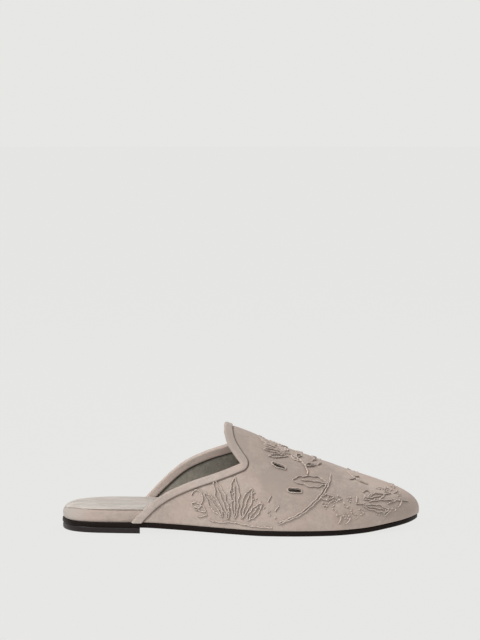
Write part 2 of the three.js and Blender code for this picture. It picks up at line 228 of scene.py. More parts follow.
VEINED_WIDTH = 5  # leaves as broad as this have a vein
STEMS = (
    table("along rise", (75.4, 70), (75, 56), (73.2, 40), (70.2, 26), (66.4, 15), (60.6, 6)),
    table("along rise", (74.7, 58), (73.8, 50), (72.4, 39.6), (69.4, 26.4), (65.8, 15.8), (60.9, 7.6)),
    table("along rise", (62.9, 83), (64.4, 83.4), (66.2, 80.6), (67.8, 75), (68.7, 68), (69, 60)),
    table("along rise", (84.4, 50), (85.4, 54), (86.8, 50), (86.5, 44), (85.3, 43), (85, 47)),
    table("along rise", (86, 36), (89.5, 38), (93.5, 37), (97.4, 33)),
    table("along rise", (80.6, 88), (81.6, 80), (83.4, 72), (86, 67)),
    table("along rise", (36.6, 19), (38, 23), (39.8, 19), (38.8, 12), (37, 12.5)),
    table("along rise", (44.2, 4), (47, 5), (50, 4.6), (54, 3.4), (59, 3)),
)
TWIGS = (
    table("along rise", (53.2, 26), (55.4, 22), (58, 16), (61, 8)),
    table("along rise", (74.2, 40), (75.4, 30), (77, 20), (78.2, 10)),
    table("along rise", (77.4, 40), (78.8, 32), (81, 24), (82.6, 14)),
    table("along rise", (88.8, 60), (91.4, 62), (93.8, 56)),
    table("along rise", (46.8, 10), (47.6, 20), (48, 29)),
    table("along rise", (88.6, 16), (91, 20), (94, 22)),
)
TWIG_KNOTS = 17
PAINTED_SHADE_SIDE = np.array([0.5, 0, -0.87])  # direction to which a row's painted shade lies; its other side takes a painted highlight
BLADES = table(
    "along rise heading length bend",
    (55.4, 92, -32, 7, 0.1),
    (56.6, 88, -30, 6, 0.1),
    (38.4, 6, 14, 7, 0.08),
    (41.8, 5, -12, 7, 0.08),
    (70.4, 86, 62, 7, 0.1),
    (71.8, 80, 54, 6, 0.1),
    (82.2, 32, 3, 8, 0.05),
    (82.6, 34, 82, 5, 0),
    (77.4, 8, 62, 6, 0.1),
    (79.4, 7, 40, 6, 0.1),
    (90.4, 13, 20, 7, 0.1),
    (91.4, 32, 8, 9, 0.1),
    (92.6, 40, -14, 9, 0.1),
    (90.2, 48, 18, 8, -0.1),
    (94.6, 24, 30, 7, 0.1),
    (93.4, 52, 16, 7, 0.1),
    (81.8, 79, 10, 6, 0.1),
    (82.6, 75, 214, 6, 0.1),
    (57.8, 24, 68, 5, 0.1),
    (59.8, 17, 60, 5, 0.1),
)
BLOSSOMS = table(
    "along rise petals spread",
    (73.8, 28, 6, 2.2),
    (76.6, 35, 6, 2.2),
    (79.6, 17, 6, 2.4),
    (80.4, 38, 6, 2),
    (84, 22, 6, 2.2),
    (91.2, 55, 5, 1.8),
    (93.4, 68, 5, 1.8),
    (95, 46, 5, 1.8),
    (53.4, 28, 5, 1.5),
    (71.2, 92, 5, 1.6),
)

# Soft troughs and ridges of the vamp: place as above, length and width in millimetres, heading in
# degrees and depth in millimetres, which is negative for a ridge.
CREASES = table(
    "along rise heading length width depth",
    (70, 76, 62, 30, 9, 0.45),
    (78, 60, 70, 34, 11, 0.35),
    (56, 52, 96, 30, 12, 0.35),
    (87, 74, 20, 20, 9, 0.35),
    (95, 34, 80, 18, 8, -0.3),
    (44, 18, 100, 24, 10, 0.3),
    (64, 30, 24, 34, 12, -0.3),
)

# Nap that lies darker or lighter, with painted shade on the toe's lower side and the tongue's band
# and painted light on the toe's top: place as above, reach in millimetres, change of tone.
NAP_AND_PAINTED_SHADING = table(
    "along rise reach tone",
    (59, 58, 26, -0.13),
    (66, 40, 20, -0.08),
    (90, 78, 22, 0.18),
    (46.4, 71, 12, -0.2),
    (37, 60, 16, 0.1),
    (97, 40, 14, -0.05),
    (95, 14, 16, -0.14),
    (84, 6, 18, -0.04),
    (47, 32, 24, 0.05),
    (34, 20, 22, -0.05),
    (79, 70, 16, -0.05),
)


def lerp(a, b, t):
    return a + (b - a) * t


def unit(vectors):
    return vectors / np.linalg.norm(vectors, axis=-1, keepdims=True)


def soft_step(value, low, high):
    """0 below low, 1 above high and smooth between them: 3t^2 - 2t^3."""
    t = np.clip((value - low) / (high - low), 0, 1)
    return t * t * (3 - 2 * t)


def through(x, y, at):
    """Monotone cubic through rows (x, y), held past its ends: the slope at a row is the harmonic mean
    of the slopes beside it, or level where they differ in sign."""
    width = np.diff(x)
    rise = np.diff(y) / width
    product = rise[:-1] * rise[1:]
    total = rise[:-1] + rise[1:]
    inner = np.where(product > 0, 2 * product / np.where(product > 0, total, 1), 0)
    slope = np.concatenate([rise[:1], inner, rise[-1:]])
    held = np.clip(at, x[0], x[-1])
    i = np.clip(np.searchsorted(x, held, side="right") - 1, 0, len(x) - 2)
    t = (held - x[i]) / width[i]
    keep = (1 + 2 * t) * (1 - t) ** 2
    lead = t * (1 - t) ** 2 * width[i] * slope[i]
    trail = t * t * (t - 1) * width[i] * slope[i + 1]
    return keep * y[i] + (1 - keep) * y[i + 1] + lead + trail


def hermite(start, end, leave, arrive, t):
    """Cubic from start to end that leaves and arrives with the given slopes."""
    t = t[..., None]
    return (
        start * (2 * t**3 - 3 * t**2 + 1)
        + end * (3 * t**2 - 2 * t**3)
        + leave * (t**3 - 2 * t**2 + t)
        + arrive * (t**3 - t**2)
    )


def closed_spline(knots, turn):
    """Closed centripetal Catmull-Rom curve through knots; turn 0 to 1 goes round once."""
    count = len(knots)
    place = (turn % 1) * count
    i = np.floor(place).astype(int)
    p0, p1, p2, p3 = (knots[(i + step) % count] for step in (-1, 0, 1, 2))
    d0, d1, d2 = (
        np.linalg.norm(b - a, axis=-1, keepdims=True) ** 0.5
        for a, b in ((p0, p1), (p1, p2), (p2, p3))
    )
    leave = ((p1 - p0) / d0 - (p2 - p0) / (d0 + d1) + (p2 - p1) / d1) * d1
    arrive = ((p2 - p1) / d1 - (p3 - p1) / (d1 + d2) + (p3 - p2) / d2) * d1
    return hermite(p1, p2, leave, arrive, place - i)


def open_spline(knots, t):
    """Uniform Catmull-Rom curve through knots from t = 0 to 1, with its end knots doubled."""
    place = np.clip(t, 0, 1) * (len(knots) - 1)
    i = np.minimum(np.floor(place).astype(int), len(knots) - 2)
    padded = np.vstack([knots[:1], knots, knots[-1:]])
    p0, p1, p2, p3 = (padded[i + step] for step in range(4))
    return hermite(p1, p2, (p2 - p0) / 2, (p3 - p1) / 2, place - i)


def halved(ahead, low, high):
    """Where a test turns true between two bounds, found by halving on whole arrays."""
    for _ in range(HALVINGS):
        middle = (low + high) / 2
        past = ahead(middle)
        low = np.where(past, low, middle)
        high = np.where(past, middle, high)
    return high


class Last:
    """The shoe's form as functions on whole arrays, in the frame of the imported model.

    turn goes once round the bottom's outline: 0 at the heel, along the outer side to 0.5 at the toe,
    and back along the inner side. rise goes up a rib of the upper: 0 at the sole, 1 on the crest.
    """

    def __init__(self, sizes):
        self.sizes = sizes
        self.length = sizes.last_length
        self.lift_height = sizes.heel_height - sizes.outsole_thickness
        sides = [
            np.column_stack([
                OUTLINE["along"] * PERCENT * self.length,
                sign * OUTLINE[side] * PERCENT * sizes.ball_width,
            ])
            for side, sign in ((LATERAL, -1), (MEDIAL, 1))
        ]
        tip = [self.length, TOE_TIP_OFFSET * PERCENT * sizes.ball_width]
        self.knots = np.vstack([[0, 0], sides[0], tip, sides[1][::-1]])
        line = closed_spline(self.knots, np.linspace(0, 1, 2000))
        low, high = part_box("footbed")
        middle = (line[:, 1].min() + line[:, 1].max()) / 2
        self.shift = np.array([low.x, (low.y + high.y) / 2 - middle, 0])
        self.edges = {side: self.collar(side) for side in SIDES}

    def column(self, rows, key, x):
        return through(rows["along"] * PERCENT * self.length, rows[key], x)

    def outsole_bottom(self, x):
        heel = self.lift_height * self.column(SOLE_LINE, "heel", x)
        return heel + self.sizes.toe_spring * self.column(SOLE_LINE, "spring", x)

    def outsole_top(self, x):
        return self.outsole_bottom(x) + self.sizes.outsole_thickness

    def footbed_top(self, x):
        return self.outsole_top(x) + self.sizes.gap + MM * self.column(BOTTOM_STACK, "footbed", x)

    def sock_top(self, x):
        return self.footbed_top(x) + self.sizes.gap + self.sizes.sock_thickness

    def outsole_margin(self, x):
        return MM * self.column(BOTTOM_STACK, "margin", x)

    def crest_height(self, x):
        return self.column(CREST, "height", x) * PERCENT * self.sizes.instep_height

    def turn(self, side, station):
        return station / 2 if side == LATERAL else 1 - station / 2

    def outward(self, turn):
        """Level direction out of the outline, square to its tangent."""
        ahead = closed_spline(self.knots, turn + TURN_STEP)
        tangent = unit(ahead - closed_spline(self.knots, turn - TURN_STEP))
        return np.stack([tangent[..., 1], -tangent[..., 0]], -1)

    def skin(self, turn, rise):
        """Outside of the upper: a cubic rib from the feather edge to the crest. Past the fan's start
        the crest point lags behind by FAN_DEPTH times the square of the way to the toe."""
        turn, rise = np.broadcast_arrays(np.asarray(turn, float), np.asarray(rise, float))
        outward = self.outward(turn)
        line = closed_spline(self.knots, turn)
        foot_line = line + outward * (self.sizes.gap + self.sizes.upper_wall)
        foot_z = self.outsole_top(foot_line[..., 0])
        middle = (line[..., 0] + closed_spline(self.knots, 1 - turn)[..., 0]) / 2
        ahead = np.maximum(0, (middle - FAN_START) / (self.length - FAN_START))
        x = middle - FAN_DEPTH * ahead**2
        crest_y = self.column(CREST, "lean", x) * PERCENT * self.sizes.ball_width
        crest_z = self.crest_height(x)
        slope = (self.crest_height(x + MM) - self.crest_height(x - MM)) / (2 * MM)
        bulge = self.column(CREST, "bulge", x) * MM
        foot = np.concatenate([foot_line, foot_z[..., None]], -1)
        crest = np.stack([x, crest_y, crest_z], -1)
        handle = self.column(CREST, "foot", x) * (crest_z - foot_z)
        wall = foot + np.concatenate([outward * bulge[..., None], handle[..., None]], -1)
        crown = lerp(crest, foot, self.column(CREST, "crest", x)[..., None])
        crown[..., 2] = crest_z + slope * (crown[..., 0] - x)
        t = rise[..., None]
        rib = (
            foot * (1 - t) ** 3
            + 3 * wall * t * (1 - t) ** 2
            + 3 * crown * t**2 * (1 - t)
            + crest * t**3
        )
        return rib + self.shift

    def slopes(self, turn, rise):
        """The skin's change with turn and with rise, by central differences just inside the crest."""
        inside = np.clip(rise, RISE_STEP, 1 - 2 * RISE_STEP)
        by_turn = self.skin(turn + TURN_STEP, inside) - self.skin(turn - TURN_STEP, inside)
        by_rise = self.skin(turn, inside + RISE_STEP) - self.skin(turn, inside - RISE_STEP)
        return by_turn / (2 * TURN_STEP), by_rise / (2 * RISE_STEP)

    def normal(self, turn, rise):
        by_turn, by_rise = self.slopes(turn, rise)
        return unit(np.cross(by_turn, by_rise))

    def collar(self, side, steps=60):
        """The collar's edge in side view as a fine line from its peak to the sole."""
        size = np.array([self.length, self.sizes.instep_height]) * PERCENT
        lines = []
        for rows in (TONGUE[side], TOPLINE[side]):
            knots = np.column_stack([rows["along"], rows["height"]]) * size
            lines.append(open_spline(knots, np.linspace(0, 1, steps)))
        return np.vstack([lines[0], lines[1][1:]])

    def side_view(self, points):
        return (points - self.shift)[..., [0, 2]]

    def from_edge(self, side, points):
        """Distance in side view from the collar's edge, positive in the upper: that of the nearest
        stretch, signed by whether the point lies ahead of the edge at its height."""
        line = self.edges[side]
        start = line[:-1]
        span = line[1:] - start
        place = self.side_view(points)
        offset = place[..., None, :] - start
        share = np.clip((offset * span).sum(-1) / (span * span).sum(-1), 0, 1)
        distance = np.linalg.norm(offset - share[..., None] * span, axis=-1).min(-1)
        edge_x = np.interp(place[..., 1], line[::-1, 1], line[::-1, 0])
        return np.where(place[..., 0] > edge_x, distance, -distance)

    def band_width(self, side, points, inside):
        """Width of the binding: it flares towards the sole outside and narrows there inside."""
        throat = TOPLINE[side]["height"][0] * PERCENT * self.sizes.instep_height
        low = np.clip(1 - self.side_view(points)[..., 1] / throat, 0, 1)
        if inside:
            return self.sizes.binding_width * lerp(INNER_BAND["throat"], INNER_BAND["back"], low**0.7)
        return self.sizes.binding_width + self.sizes.binding_flare * low**4

    def collar_turn(self, side, rise, share, inside, extra=0.0):
        """Turn at which each line of equal rise lies a share of the binding's width, and a little
        extra, ahead of the collar's edge."""
        rise = np.asarray(rise, float)

        def ahead(station):
            points = self.skin(self.turn(side, station), rise)
            reach = share * self.band_width(side, points, inside) + extra
            return self.from_edge(side, points) > reach

        return self.turn(side, halved(ahead, np.full(rise.shape, UPPER_START), np.ones(rise.shape)))

    def turn_at(self, side, along, rise):
        """Turn at which a line of equal rise passes a place along the foot."""
        along, rise = np.broadcast_arrays(np.asarray(along, float), np.asarray(rise, float))
        x = along * PERCENT * self.length + self.shift[0]

        def ahead(station):
            return self.skin(self.turn(side, station), rise)[..., 0] > x

        return self.turn(side, halved(ahead, np.zeros(x.shape), np.ones(x.shape)))

    def station_at(self, side, length):
        """Station at which the outline's side lies at a distance from the heel point."""

        def ahead(station):
            return closed_spline(self.knots, self.turn(side, station))[..., 0] > length

        return halved(ahead, np.array(0.0), np.array(1.0))

    def side_place(self, side, along, height):
        """Turn and rise of the skin's point at a place along the foot and a height, both in percent:
        Newton's method with the skin's two slopes in side view."""
        goal = np.column_stack([along * self.length, height * self.sizes.instep_height]) * PERCENT
        rise = np.full(len(goal), 0.5)
        turn = self.turn_at(side, along, rise)
        for _ in range(NEWTON_STEPS):
            slopes = [slope[:, [0, 2]] for slope in self.slopes(turn, rise)]
            error = goal - self.side_view(self.skin(turn, rise))
            step = np.linalg.solve(np.stack(slopes, -1), error[..., None])[..., 0]
            turn = turn + step[:, 0]
            rise = np.clip(rise + step[:, 1], 0.02, 0.98)
        return turn, rise

    def directions(self, side, turn, rise):
        """The skin's slopes towards the toe and up it, and two unit vectors on the skin: the first
        along the one slope, the second square to that."""
        by_turn, by_rise = self.slopes(turn, rise)
        ahead = by_turn if side == LATERAL else -by_turn
        first = unit(ahead)
        second = unit(by_rise - (by_rise * first).sum(-1, keepdims=True) * first)
        return ahead, by_rise, first, second

    def chart(self, side, along, rise, forwards, upwards):
        """Turn and rise of points beside a place on the skin, given as distances along the skin
        towards the toe and up it: the skin's two slopes there, inverted."""
        turn = self.turn_at(side, along, rise)
        ahead, by_rise, first, second = self.directions(side, turn, rise)
        lean = (by_rise * first).sum(-1)
        climb = (by_rise * second).sum(-1)
        pace = np.linalg.norm(ahead, axis=-1)
        step_rise = upwards / climb[..., None]
        step_turn = (forwards - step_rise * lean[..., None]) / pace[..., None]
        sign = 1 if side == LATERAL else -1
        risen = np.clip(rise[..., None] + step_rise, FOOT_RISE, TOP_RISE)
        return turn[..., None] + sign * step_turn, risen


def grid_faces(rows, columns, wrap=False):
    """Quads over points that are stored row by row; wrap joins the last column to the first."""
    index = np.arange(rows * columns).reshape(rows, columns)
    if wrap:
        index = np.hstack([index, index[:, :1]])
    corners = [index[:-1, :-1], index[:-1, 1:], index[1:, 1:], index[1:, :-1]]
    return np.stack(corners, -1).reshape(-1, 4)


def many_grids(count, rows, columns):
    """Quads of several wrapped grids of one size, stored one after the other."""
    starts = np.arange(count)[:, None, None] * rows * columns
    return (starts + grid_faces(rows, columns, wrap=True)).reshape(-1, 4)


def weld(points, faces, nearness=1e-7):
    """One index for points in the same place: the kept points' indices and the faces in terms of
    them."""
    cells = np.round(points / nearness).astype(np.int64)
    _, first, back = np.unique(cells, axis=0, return_index=True, return_inverse=True)
    return first, back.reshape(-1)[faces]


def polygons(faces):
    """Quads as lists, with those that close to a point on one edge as triangles."""
    same = faces == np.roll(faces, -1, axis=1)
    pinched = same.sum(1) == 1
    order = (same[pinched].argmax(1)[:, None] + np.array([1, 2, 3])) % 4
    triangles = np.take_along_axis(faces[pinched], order, 1)
    return faces[~same.any(1)].tolist() + triangles.tolist()


def wall(outer, inner, faces):
    """A closed wall between two copies of a sheet: both sides, and a strip along each open edge."""
    count = len(outer)
    edges = np.concatenate([faces[:, [i, (i + 1) % 4]] for i in range(4)])
    edges = edges[edges[:, 0] != edges[:, 1]]
    _, first, uses = np.unique(
        np.sort(edges, 1), axis=0, return_index=True, return_counts=True
    )
    start, end = edges[first[uses == 1]].T
    strip = np.column_stack([end, start, start + count, end + count])
    return np.vstack([outer, inner]), np.vstack([faces, faces[:, ::-1] + count, strip])


def make_piece(name, points, faces, attributes=None, sharp=None):
    """A mesh object at the origin with its faces pointing outwards, and one float attribute for each
    entry; edges sharper than an angle are kept sharp."""
    mesh = bpy.data.meshes.new(name)
    mesh.from_pydata(points.tolist(), [], polygons(faces))
    for key, values in (attributes or {}).items():
        layer = mesh.attributes.new(key, "FLOAT", "POINT")
        layer.data.foreach_set("value", np.asarray(values, np.float32))
    shape = bmesh.new()
    shape.from_mesh(mesh)
    bmesh.ops.recalc_face_normals(shape, faces=shape.faces)
    shape.to_mesh(mesh)
    shape.free()
    mesh.polygons.foreach_set("use_smooth", np.ones(len(mesh.polygons), bool))
    if sharp is not None:
        mesh.set_sharp_from_angle(angle=sharp)
    piece = bpy.data.objects.new(name, mesh)
    bpy.context.scene.collection.objects.link(piece)
    return piece


def dress(piece, material, slot, *nodes):
    """Gives a piece its material and body, and hides the solids that it stands for. slot is not used."""
    piece.data.materials.append(material)
    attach(piece, "root")
    if nodes:
        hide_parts(*nodes)


class Wire:
    """One output of a material's node tree. Arithmetic on it adds Math nodes."""

    def __init__(self, tree, socket=None):
        self.tree = tree
        self.socket = socket

    def node(self, kind, settings=None, inputs=None, output=0):
        """A new node of a type, with its settings set first, then its sockets' values or links."""
        made = self.tree.nodes.new(kind)
        for key, value in (settings or {}).items():
            setattr(made, key, value)
        for key, value in (inputs or {}).items():
            if isinstance(value, Wire):
                self.tree.links.new(value.socket, made.inputs[key])
            else:
                made.inputs[key].default_value = value
        return Wire(self.tree, made.outputs[output])

    def math(self, operation, *values):
        return self.node("ShaderNodeMath", {"operation": operation}, dict(enumerate(values)))

    def __add__(self, other):
        return self.math("ADD", self, other)

    def __rsub__(self, other):
        return self.math("SUBTRACT", other, self)

    def __mul__(self, other):
        return self.math("MULTIPLY", self, other)

    def noise(self, scale, detail=2.0, roughness=0.5, distortion=0.0):
        """Fractal noise on these coordinates, from 0 to 1; scale is features per metre."""
        values = {
            "Vector": self,
            "Scale": scale,
            "Detail": detail,
            "Roughness": roughness,
            "Distortion": distortion,
        }
        return self.node("ShaderNodeTexNoise", {}, values)

    def attribute(self, name):
        return self.node("ShaderNodeAttribute", {"attribute_name": name}, {}, "Fac")

    def near(self, reach):
        """1 where this distance is nothing, falling smoothly to 0 at its reach."""
        values = {"Value": self, "From Min": 0.0, "From Max": reach, "To Min": 1.0, "To Max": 0.0}
        return self.node("ShaderNodeMapRange", {"interpolation_type": "SMOOTHSTEP"}, values)

    def between(self, low, high):
        """This value's way from low to high, from 0 to 1."""
        values = {"Value": self, "From Min": low, "From Max": high}
        return self.node("ShaderNodeMapRange", {}, values)

    def tint(self, first, second):
        """A colour between two, with this value as the share of the second."""
        return self.node(
            "ShaderNodeMix", {"data_type": "RGBA"}, {0: self, 6: first, 7: second}, 2
        )

    def bump(self, distance, strength=1.0):
        values = {"Height": self, "Distance": distance, "Strength": strength}
        return self.node("ShaderNodeBump", {}, values)


def shade(colour, factor):
    """A colour made lighter or darker, with its alpha."""
    return (*(min(1.0, channel * factor) for channel in colour[:3]), 1.0)


def blushed(colour):
    """The same colour, a little more rosy."""
    return colour[0] * 1.05, colour[1] * 0.97, colour[2] * 0.96, 1.0


def new_material(name, constants):
    """A material with its shader's constant sockets set, and a wire to its Object coordinates."""
    material = bpy.data.materials.new(name)
    material.use_nodes = True
    tree = material.node_tree
    shader = tree.nodes["Principled BSDF"]
    for key, value in constants.items():
        shader.inputs[key].default_value = value
    place = Wire(tree).node("ShaderNodeTexCoord", {}, {}, "Object")
    return material, shader, place


def connect(shader, **wires):
    for key, wire in wires.items():
        wire.tree.links.new(wire.socket, shader.inputs[key.replace("_", " ")])


def suede(name, colour, brushed=1.0, contrast=1.0, stitched=False, seamed=False, heel=None):
    """Napped leather: brushed patches, flecks and a fine fibre grain, with painted shade at seams and
    stitches and, where seamed, patches of nap tone with painted light and shade. brushed below 1
    draws the nap out along the foot; the tone's range is its contrast. It may turn to another
    colour at the heel."""
    constants = {
        "Sheen Weight": 0.12,
        "Sheen Roughness": 0.5,
        "Sheen Tint": shade(colour, 1.5),
        "Specular IOR Level": 0.12,
    }
    material, shader, place = new_material(name, constants)
    nap = place.node("ShaderNodeMapping", {}, {"Vector": place, "Scale": (brushed, 1.0, 1.0)})
    patches = nap.noise(45, 3, 0.55, 0.4)
    cloud = nap.noise(200, 3, 0.6)
    flecks = nap.noise(560, 3, 0.65)
    grain = place.noise(1700, 2, 0.7)
    tone = patches * 0.3 + cloud * 0.26 + flecks * 0.3 + grain * 0.14
    # The nap attribute adds patches of nap tone and of painted light and shade.
    if seamed:
        tone = tone + place.attribute("nap")
    base = tone.between(0.38, 0.62).tint(
        shade(colour, 1 - 0.17 * contrast), shade(colour, 1 + 0.16 * contrast)
    )
    blush = place.noise(38, 2, 0.5, 0.6).between(0.46, 0.66)
    base = (blush * 0.42).tint(base, blushed(colour))
    if heel:
        back = place.node("ShaderNodeSeparateXYZ", {}, {0: place}, "X").between(*HEEL_FADE)
        base = (back * 0.8).tint(base, shade(heel, 1.0))
    height = cloud * 0.45 + flecks * 0.35 + grain * 0.2
    # Painted shade in the puckers beside the stitches.
    if stitched:
        stitch_shade = place.attribute("stitch_gap").near(1.5 * MM)
        base = (stitch_shade * 0.24).tint(base, shade(colour, 0.45))
    # Painted shade in the groove of the binding's seam.
    if seamed:
        groove_shade = place.attribute("seam_gap").near(SEAM_REACH)
        base = (groove_shade * 0.7).tint(base, shade(colour, 0.2))
    connect(
        shader,
        Base_Color=base,
        Roughness=flecks * 0.14 + 0.82,
        Normal=height.bump(0.9 * MM, 0.6),
    )
    return material


def thread(name, colour):
    """Matte thread with uneven dye and a fine twist, with painted shade on one side and a painted
    highlight on the other.
    """
    constants = {"Sheen Weight": 0.1, "Specular IOR Level": 0.2}
    material, shader, place = new_material(name, constants)
    strands = place.noise(1500, 2, 0.7)
    tone = place.noise(150, 2, 0.5) * 0.4 + strands * 0.6
    base = tone.between(0.32, 0.68).tint(shade(colour, 0.78), shade(colour, 1.22))
    # Painted shade on each row's side that faces down and to the toe, away from the key light, and a
    # painted highlight on the other.
    lip = place.attribute("lip")
    base = lip.between(0.05, 0.75).tint(base, shade(colour, 0.4))
    base = (lip.between(-0.05, -0.8) * 0.6).tint(base, shade(colour, 1.35))
    connect(shader, Base_Color=base, Roughness=strands * 0.2 + 0.66, Normal=strands.bump(0.3 * MM))
    return material


def lining_leather(name, colour):
    """Thin smooth lining: faint mottling, fine pores, painted light towards the heel and painted shade
    in a dark line along its seam.
    """
    material, shader, place = new_material(name, {"Specular IOR Level": 0.2})
    mottle = place.noise(170, 4, 0.65)
    pores = place.noise(800, 3, 0.65)
    tone = (mottle * 0.5 + pores * 0.5).between(0.36, 0.64)
    base = tone.tint(shade(colour, 0.72), shade(colour, 1.25))
    # Painted light: lighter towards the heel, darker towards the throat, deeper in the shoe's shade.
    forward = place.node("ShaderNodeSeparateXYZ", {}, {0: place}, "X")
    base = (forward.between(-25 * MM, -75 * MM) * 0.6).tint(base, shade(colour, 1.45))
    # Painted shade, nearly black, in the groove along the binding's seam.
    groove_shade = place.attribute("seam_gap").near(2.2 * MM)
    base = groove_shade.tint(base, shade(colour, 0.05))
    connect(shader, Base_Color=base, Roughness=pores * 0.2 + 0.64, Normal=pores.bump(0.3 * MM, 0.6))
    return material


def sole_leather(name, colour, coat, wear=0.5):
    """Stained leather: fine level fibres on the edge, a waxed coat, and a scuffed underside."""
    constants = {"Specular IOR Level": 0.1, "Coat Roughness": 0.3}
    material, shader, place = new_material(name, constants)
    stretched = place.node("ShaderNodeMapping", {}, {"Vector": place, "Scale": (1.0, 1.0, 7.0)})
    fibres = stretched.noise(230, 4, 0.65)
    pores = place.noise(900, 3, 0.6)
    scuffs = place.noise(70, 4, 0.65, 0.8)
    facing = place.node("ShaderNodeNewGeometry", {}, {}, "Normal")
    under = facing.node("ShaderNodeSeparateXYZ", {}, {0: facing}, "Z").between(-0.6, -0.95)
    tone = (fibres * 0.6 + pores * 0.4).between(0.34, 0.66)
    base = tone.tint(shade(colour, 0.66), shade(colour, 1.4))
    base = (under * scuffs.between(0.4, 0.75) * wear).tint(base, shade(colour, 5))
    connect(
        shader,
        Base_Color=base,
        Roughness=fibres * 0.2 + under * 0.25 + 0.36,
        Coat_Weight=(1.0 - under) * coat,
        Normal=(fibres * 0.7 + pores * 0.3).bump(0.25 * MM, 0.6),
    )
    return material


def srgb(red, green, blue):
    """A colour of 0 to 255 in each channel as linear values."""
    share = np.array([red, green, blue]) / 255
    return tuple(np.where(share <= 0.04045, share / 12.92, ((share + 0.055) / 1.055) ** 2.4))


def length_property(name, description, default):
    return FloatProperty(name=name, description=description, default=default, unit="LENGTH")


def colour_property(name, description, default):
    return FloatVectorProperty(
        name=name, description=description, default=default, subtype="COLOR", size=3, min=0, max=1
    )


class MuleSizes(bpy.types.PropertyGroup):
    """Driving sizes of the shoe."""

    last_length: length_property("Last length", "Heel point to toe tip of the last", 256.5 * MM)
    ball_width: length_property("Ball width", "Widest stretch of the last's bottom", 83 * MM)
    instep_height: length_property("Instep height", "Floor to the crest at the top edge", 76 * MM)
    heel_height: length_property("Heel height", "Floor to the outsole's top at the heel", 7.8 * MM)
    toe_spring: length_property("Toe spring", "Floor to the sole's underside at the tip", 5.7 * MM)
    outsole_thickness: length_property("Outsole", "Thickness of the outsole", 3.6 * MM)
    upper_wall: length_property("Upper wall", "Suede and lining together", 1.8 * MM)
    lining_thickness: length_property("Lining", "Thickness of the lining", 0.6 * MM)
    sock_thickness: length_property("Sock", "Thickness of the sock", 1.6 * MM)
    sock_tuck: length_property("Sock tuck", "How far the sock's edge draws in at the heel", 1.0 * MM)
    heel_length: length_property("Heel length", "Heel point to the lift's breast", 57 * MM)
    breast_hollow: length_property("Breast hollow", "Depth of the breast's control point", 3 * MM)
    gap: length_property("Gap", "Between curved pieces that meet", 0.3 * MM)
    binding_width: length_property("Binding width", "Band that shows on each side", 5.7 * MM)
    binding_flare: length_property("Binding flare", "Extra width of the band at the sole", 0.6 * MM)
    binding_rise: length_property("Binding rise", "Band's height over the suede", 1.1 * MM)
    binding_roll: length_property("Binding roll", "Reach of the fold's round edge", 1.8 * MM)
    binding_hang: length_property("Binding hang", "Band's reach over the sole's edge", 0.6 * MM)
    seam_roll: length_property("Seam roll", "Reach of the band's turn into its seam", 1.5 * MM)
    seam_depth: length_property("Seam depth", "Depth of the seam in the suede", 0.5 * MM)
    slit_length: length_property("Slit length", "Length of a cutwork slit", 9.2 * MM)
    slit_width: length_property("Slit width", "Width of a cutwork slit", 2.2 * MM)


class EmbroiderySizes(bpy.types.PropertyGroup):
    """Threads of the embroidery."""

    thread_width: length_property("Thread width", "Width of a row of stitches", 1.3 * MM)
    thread_rise: length_property("Thread rise", "Height of a row of stitches", 0.85 * MM)
    stitch_length: length_property("Stitch length", "From one stitch to the next", 2.4 * MM)
    stitch_drift: length_property("Stitch drift", "How far a row strays from its line", 0.2 * MM)
    knot_radius: length_property("Knot radius", "Radius of a knot stitch", 0.8 * MM)
    pucker: length_property("Pucker", "How far a stitch draws the suede in", 0.35 * MM)
    pucker_reach: length_property("Pucker reach", "How far from a stitch it does so", 2.4 * MM)


class MuleColours(bpy.types.PropertyGroup):
    """Colours of the finishes."""

    suede: colour_property("Suede", "Upper and footbed wrap", srgb(188, 173, 163))
    heel_wrap: colour_property("Heel wrap", "Footbed wrap at the heel", srgb(182, 177, 171))
    binding: colour_property("Binding", "Topline binding", srgb(192, 178, 169))
    sock: colour_property("Sock", "Top of the sock", srgb(200, 193, 186))
    lining: colour_property("Lining", "Inside of the upper", srgb(152, 147, 137))
    thread: colour_property("Thread", "Embroidery thread", srgb(198, 183, 173))
    outsole: colour_property("Outsole", "Stained leather of the outsole", srgb(25, 17, 14))
    lift: colour_property("Heel lift", "Stained leather of the heel lift", srgb(38, 31, 30))
    floor: colour_property("Floor", "Studio floor", srgb(231, 231, 229))


class StudioSettings(bpy.types.PropertyGroup):
    """Camera and lights of the studio."""

    distance: length_property("Camera distance", "From the shoe's origin to the camera", 1.8)
    elevation: FloatProperty(
        name="Elevation",
        description="Camera's height over the floor, as seen from the shoe's origin",
        default=math.radians(9.2),
        subtype="ANGLE",
    )
    pixels_across: IntProperty(name="Picture width", description="In pixels", default=480)
    pixels_high: IntProperty(name="Picture height", description="In pixels", default=640)
    pixels_per_metre: FloatProperty(
        name="Scale", description="Pixels for a metre at the shoe's origin", default=1376
    )
    origin_pixel: FloatVectorProperty(
        name="Origin pixel",
        description="Where the shoe's origin shows in the picture, from its top left",
        default=(241.1, 526.85),
        size=2,
    )
    overhead: FloatProperty(
        name="Overhead", description="Light from above as a share of the floor's tone", default=0.45
    )
    floor_bounce: FloatProperty(
        name="Floor bounce", description="Share of light that the floor throws back", default=0.03
    )
    key_power: FloatProperty(
        name="Key", description="Soft light from the left", default=20, unit="POWER"
    )
    front_power: FloatProperty(
        name="Front", description="Soft light from the front", default=3, unit="POWER"
    )
    top_power: FloatProperty(
        name="Top", description="Soft light from above the toe, behind it", default=8.5, unit="POWER"
    )


class MuleSettings(bpy.types.PropertyGroup):
    """Everything that a user would change."""

    sizes: PointerProperty(type=MuleSizes)
    stitches: PointerProperty(type=EmbroiderySizes)
    colours: PointerProperty(type=MuleColours)
    studio: PointerProperty(type=StudioSettings)


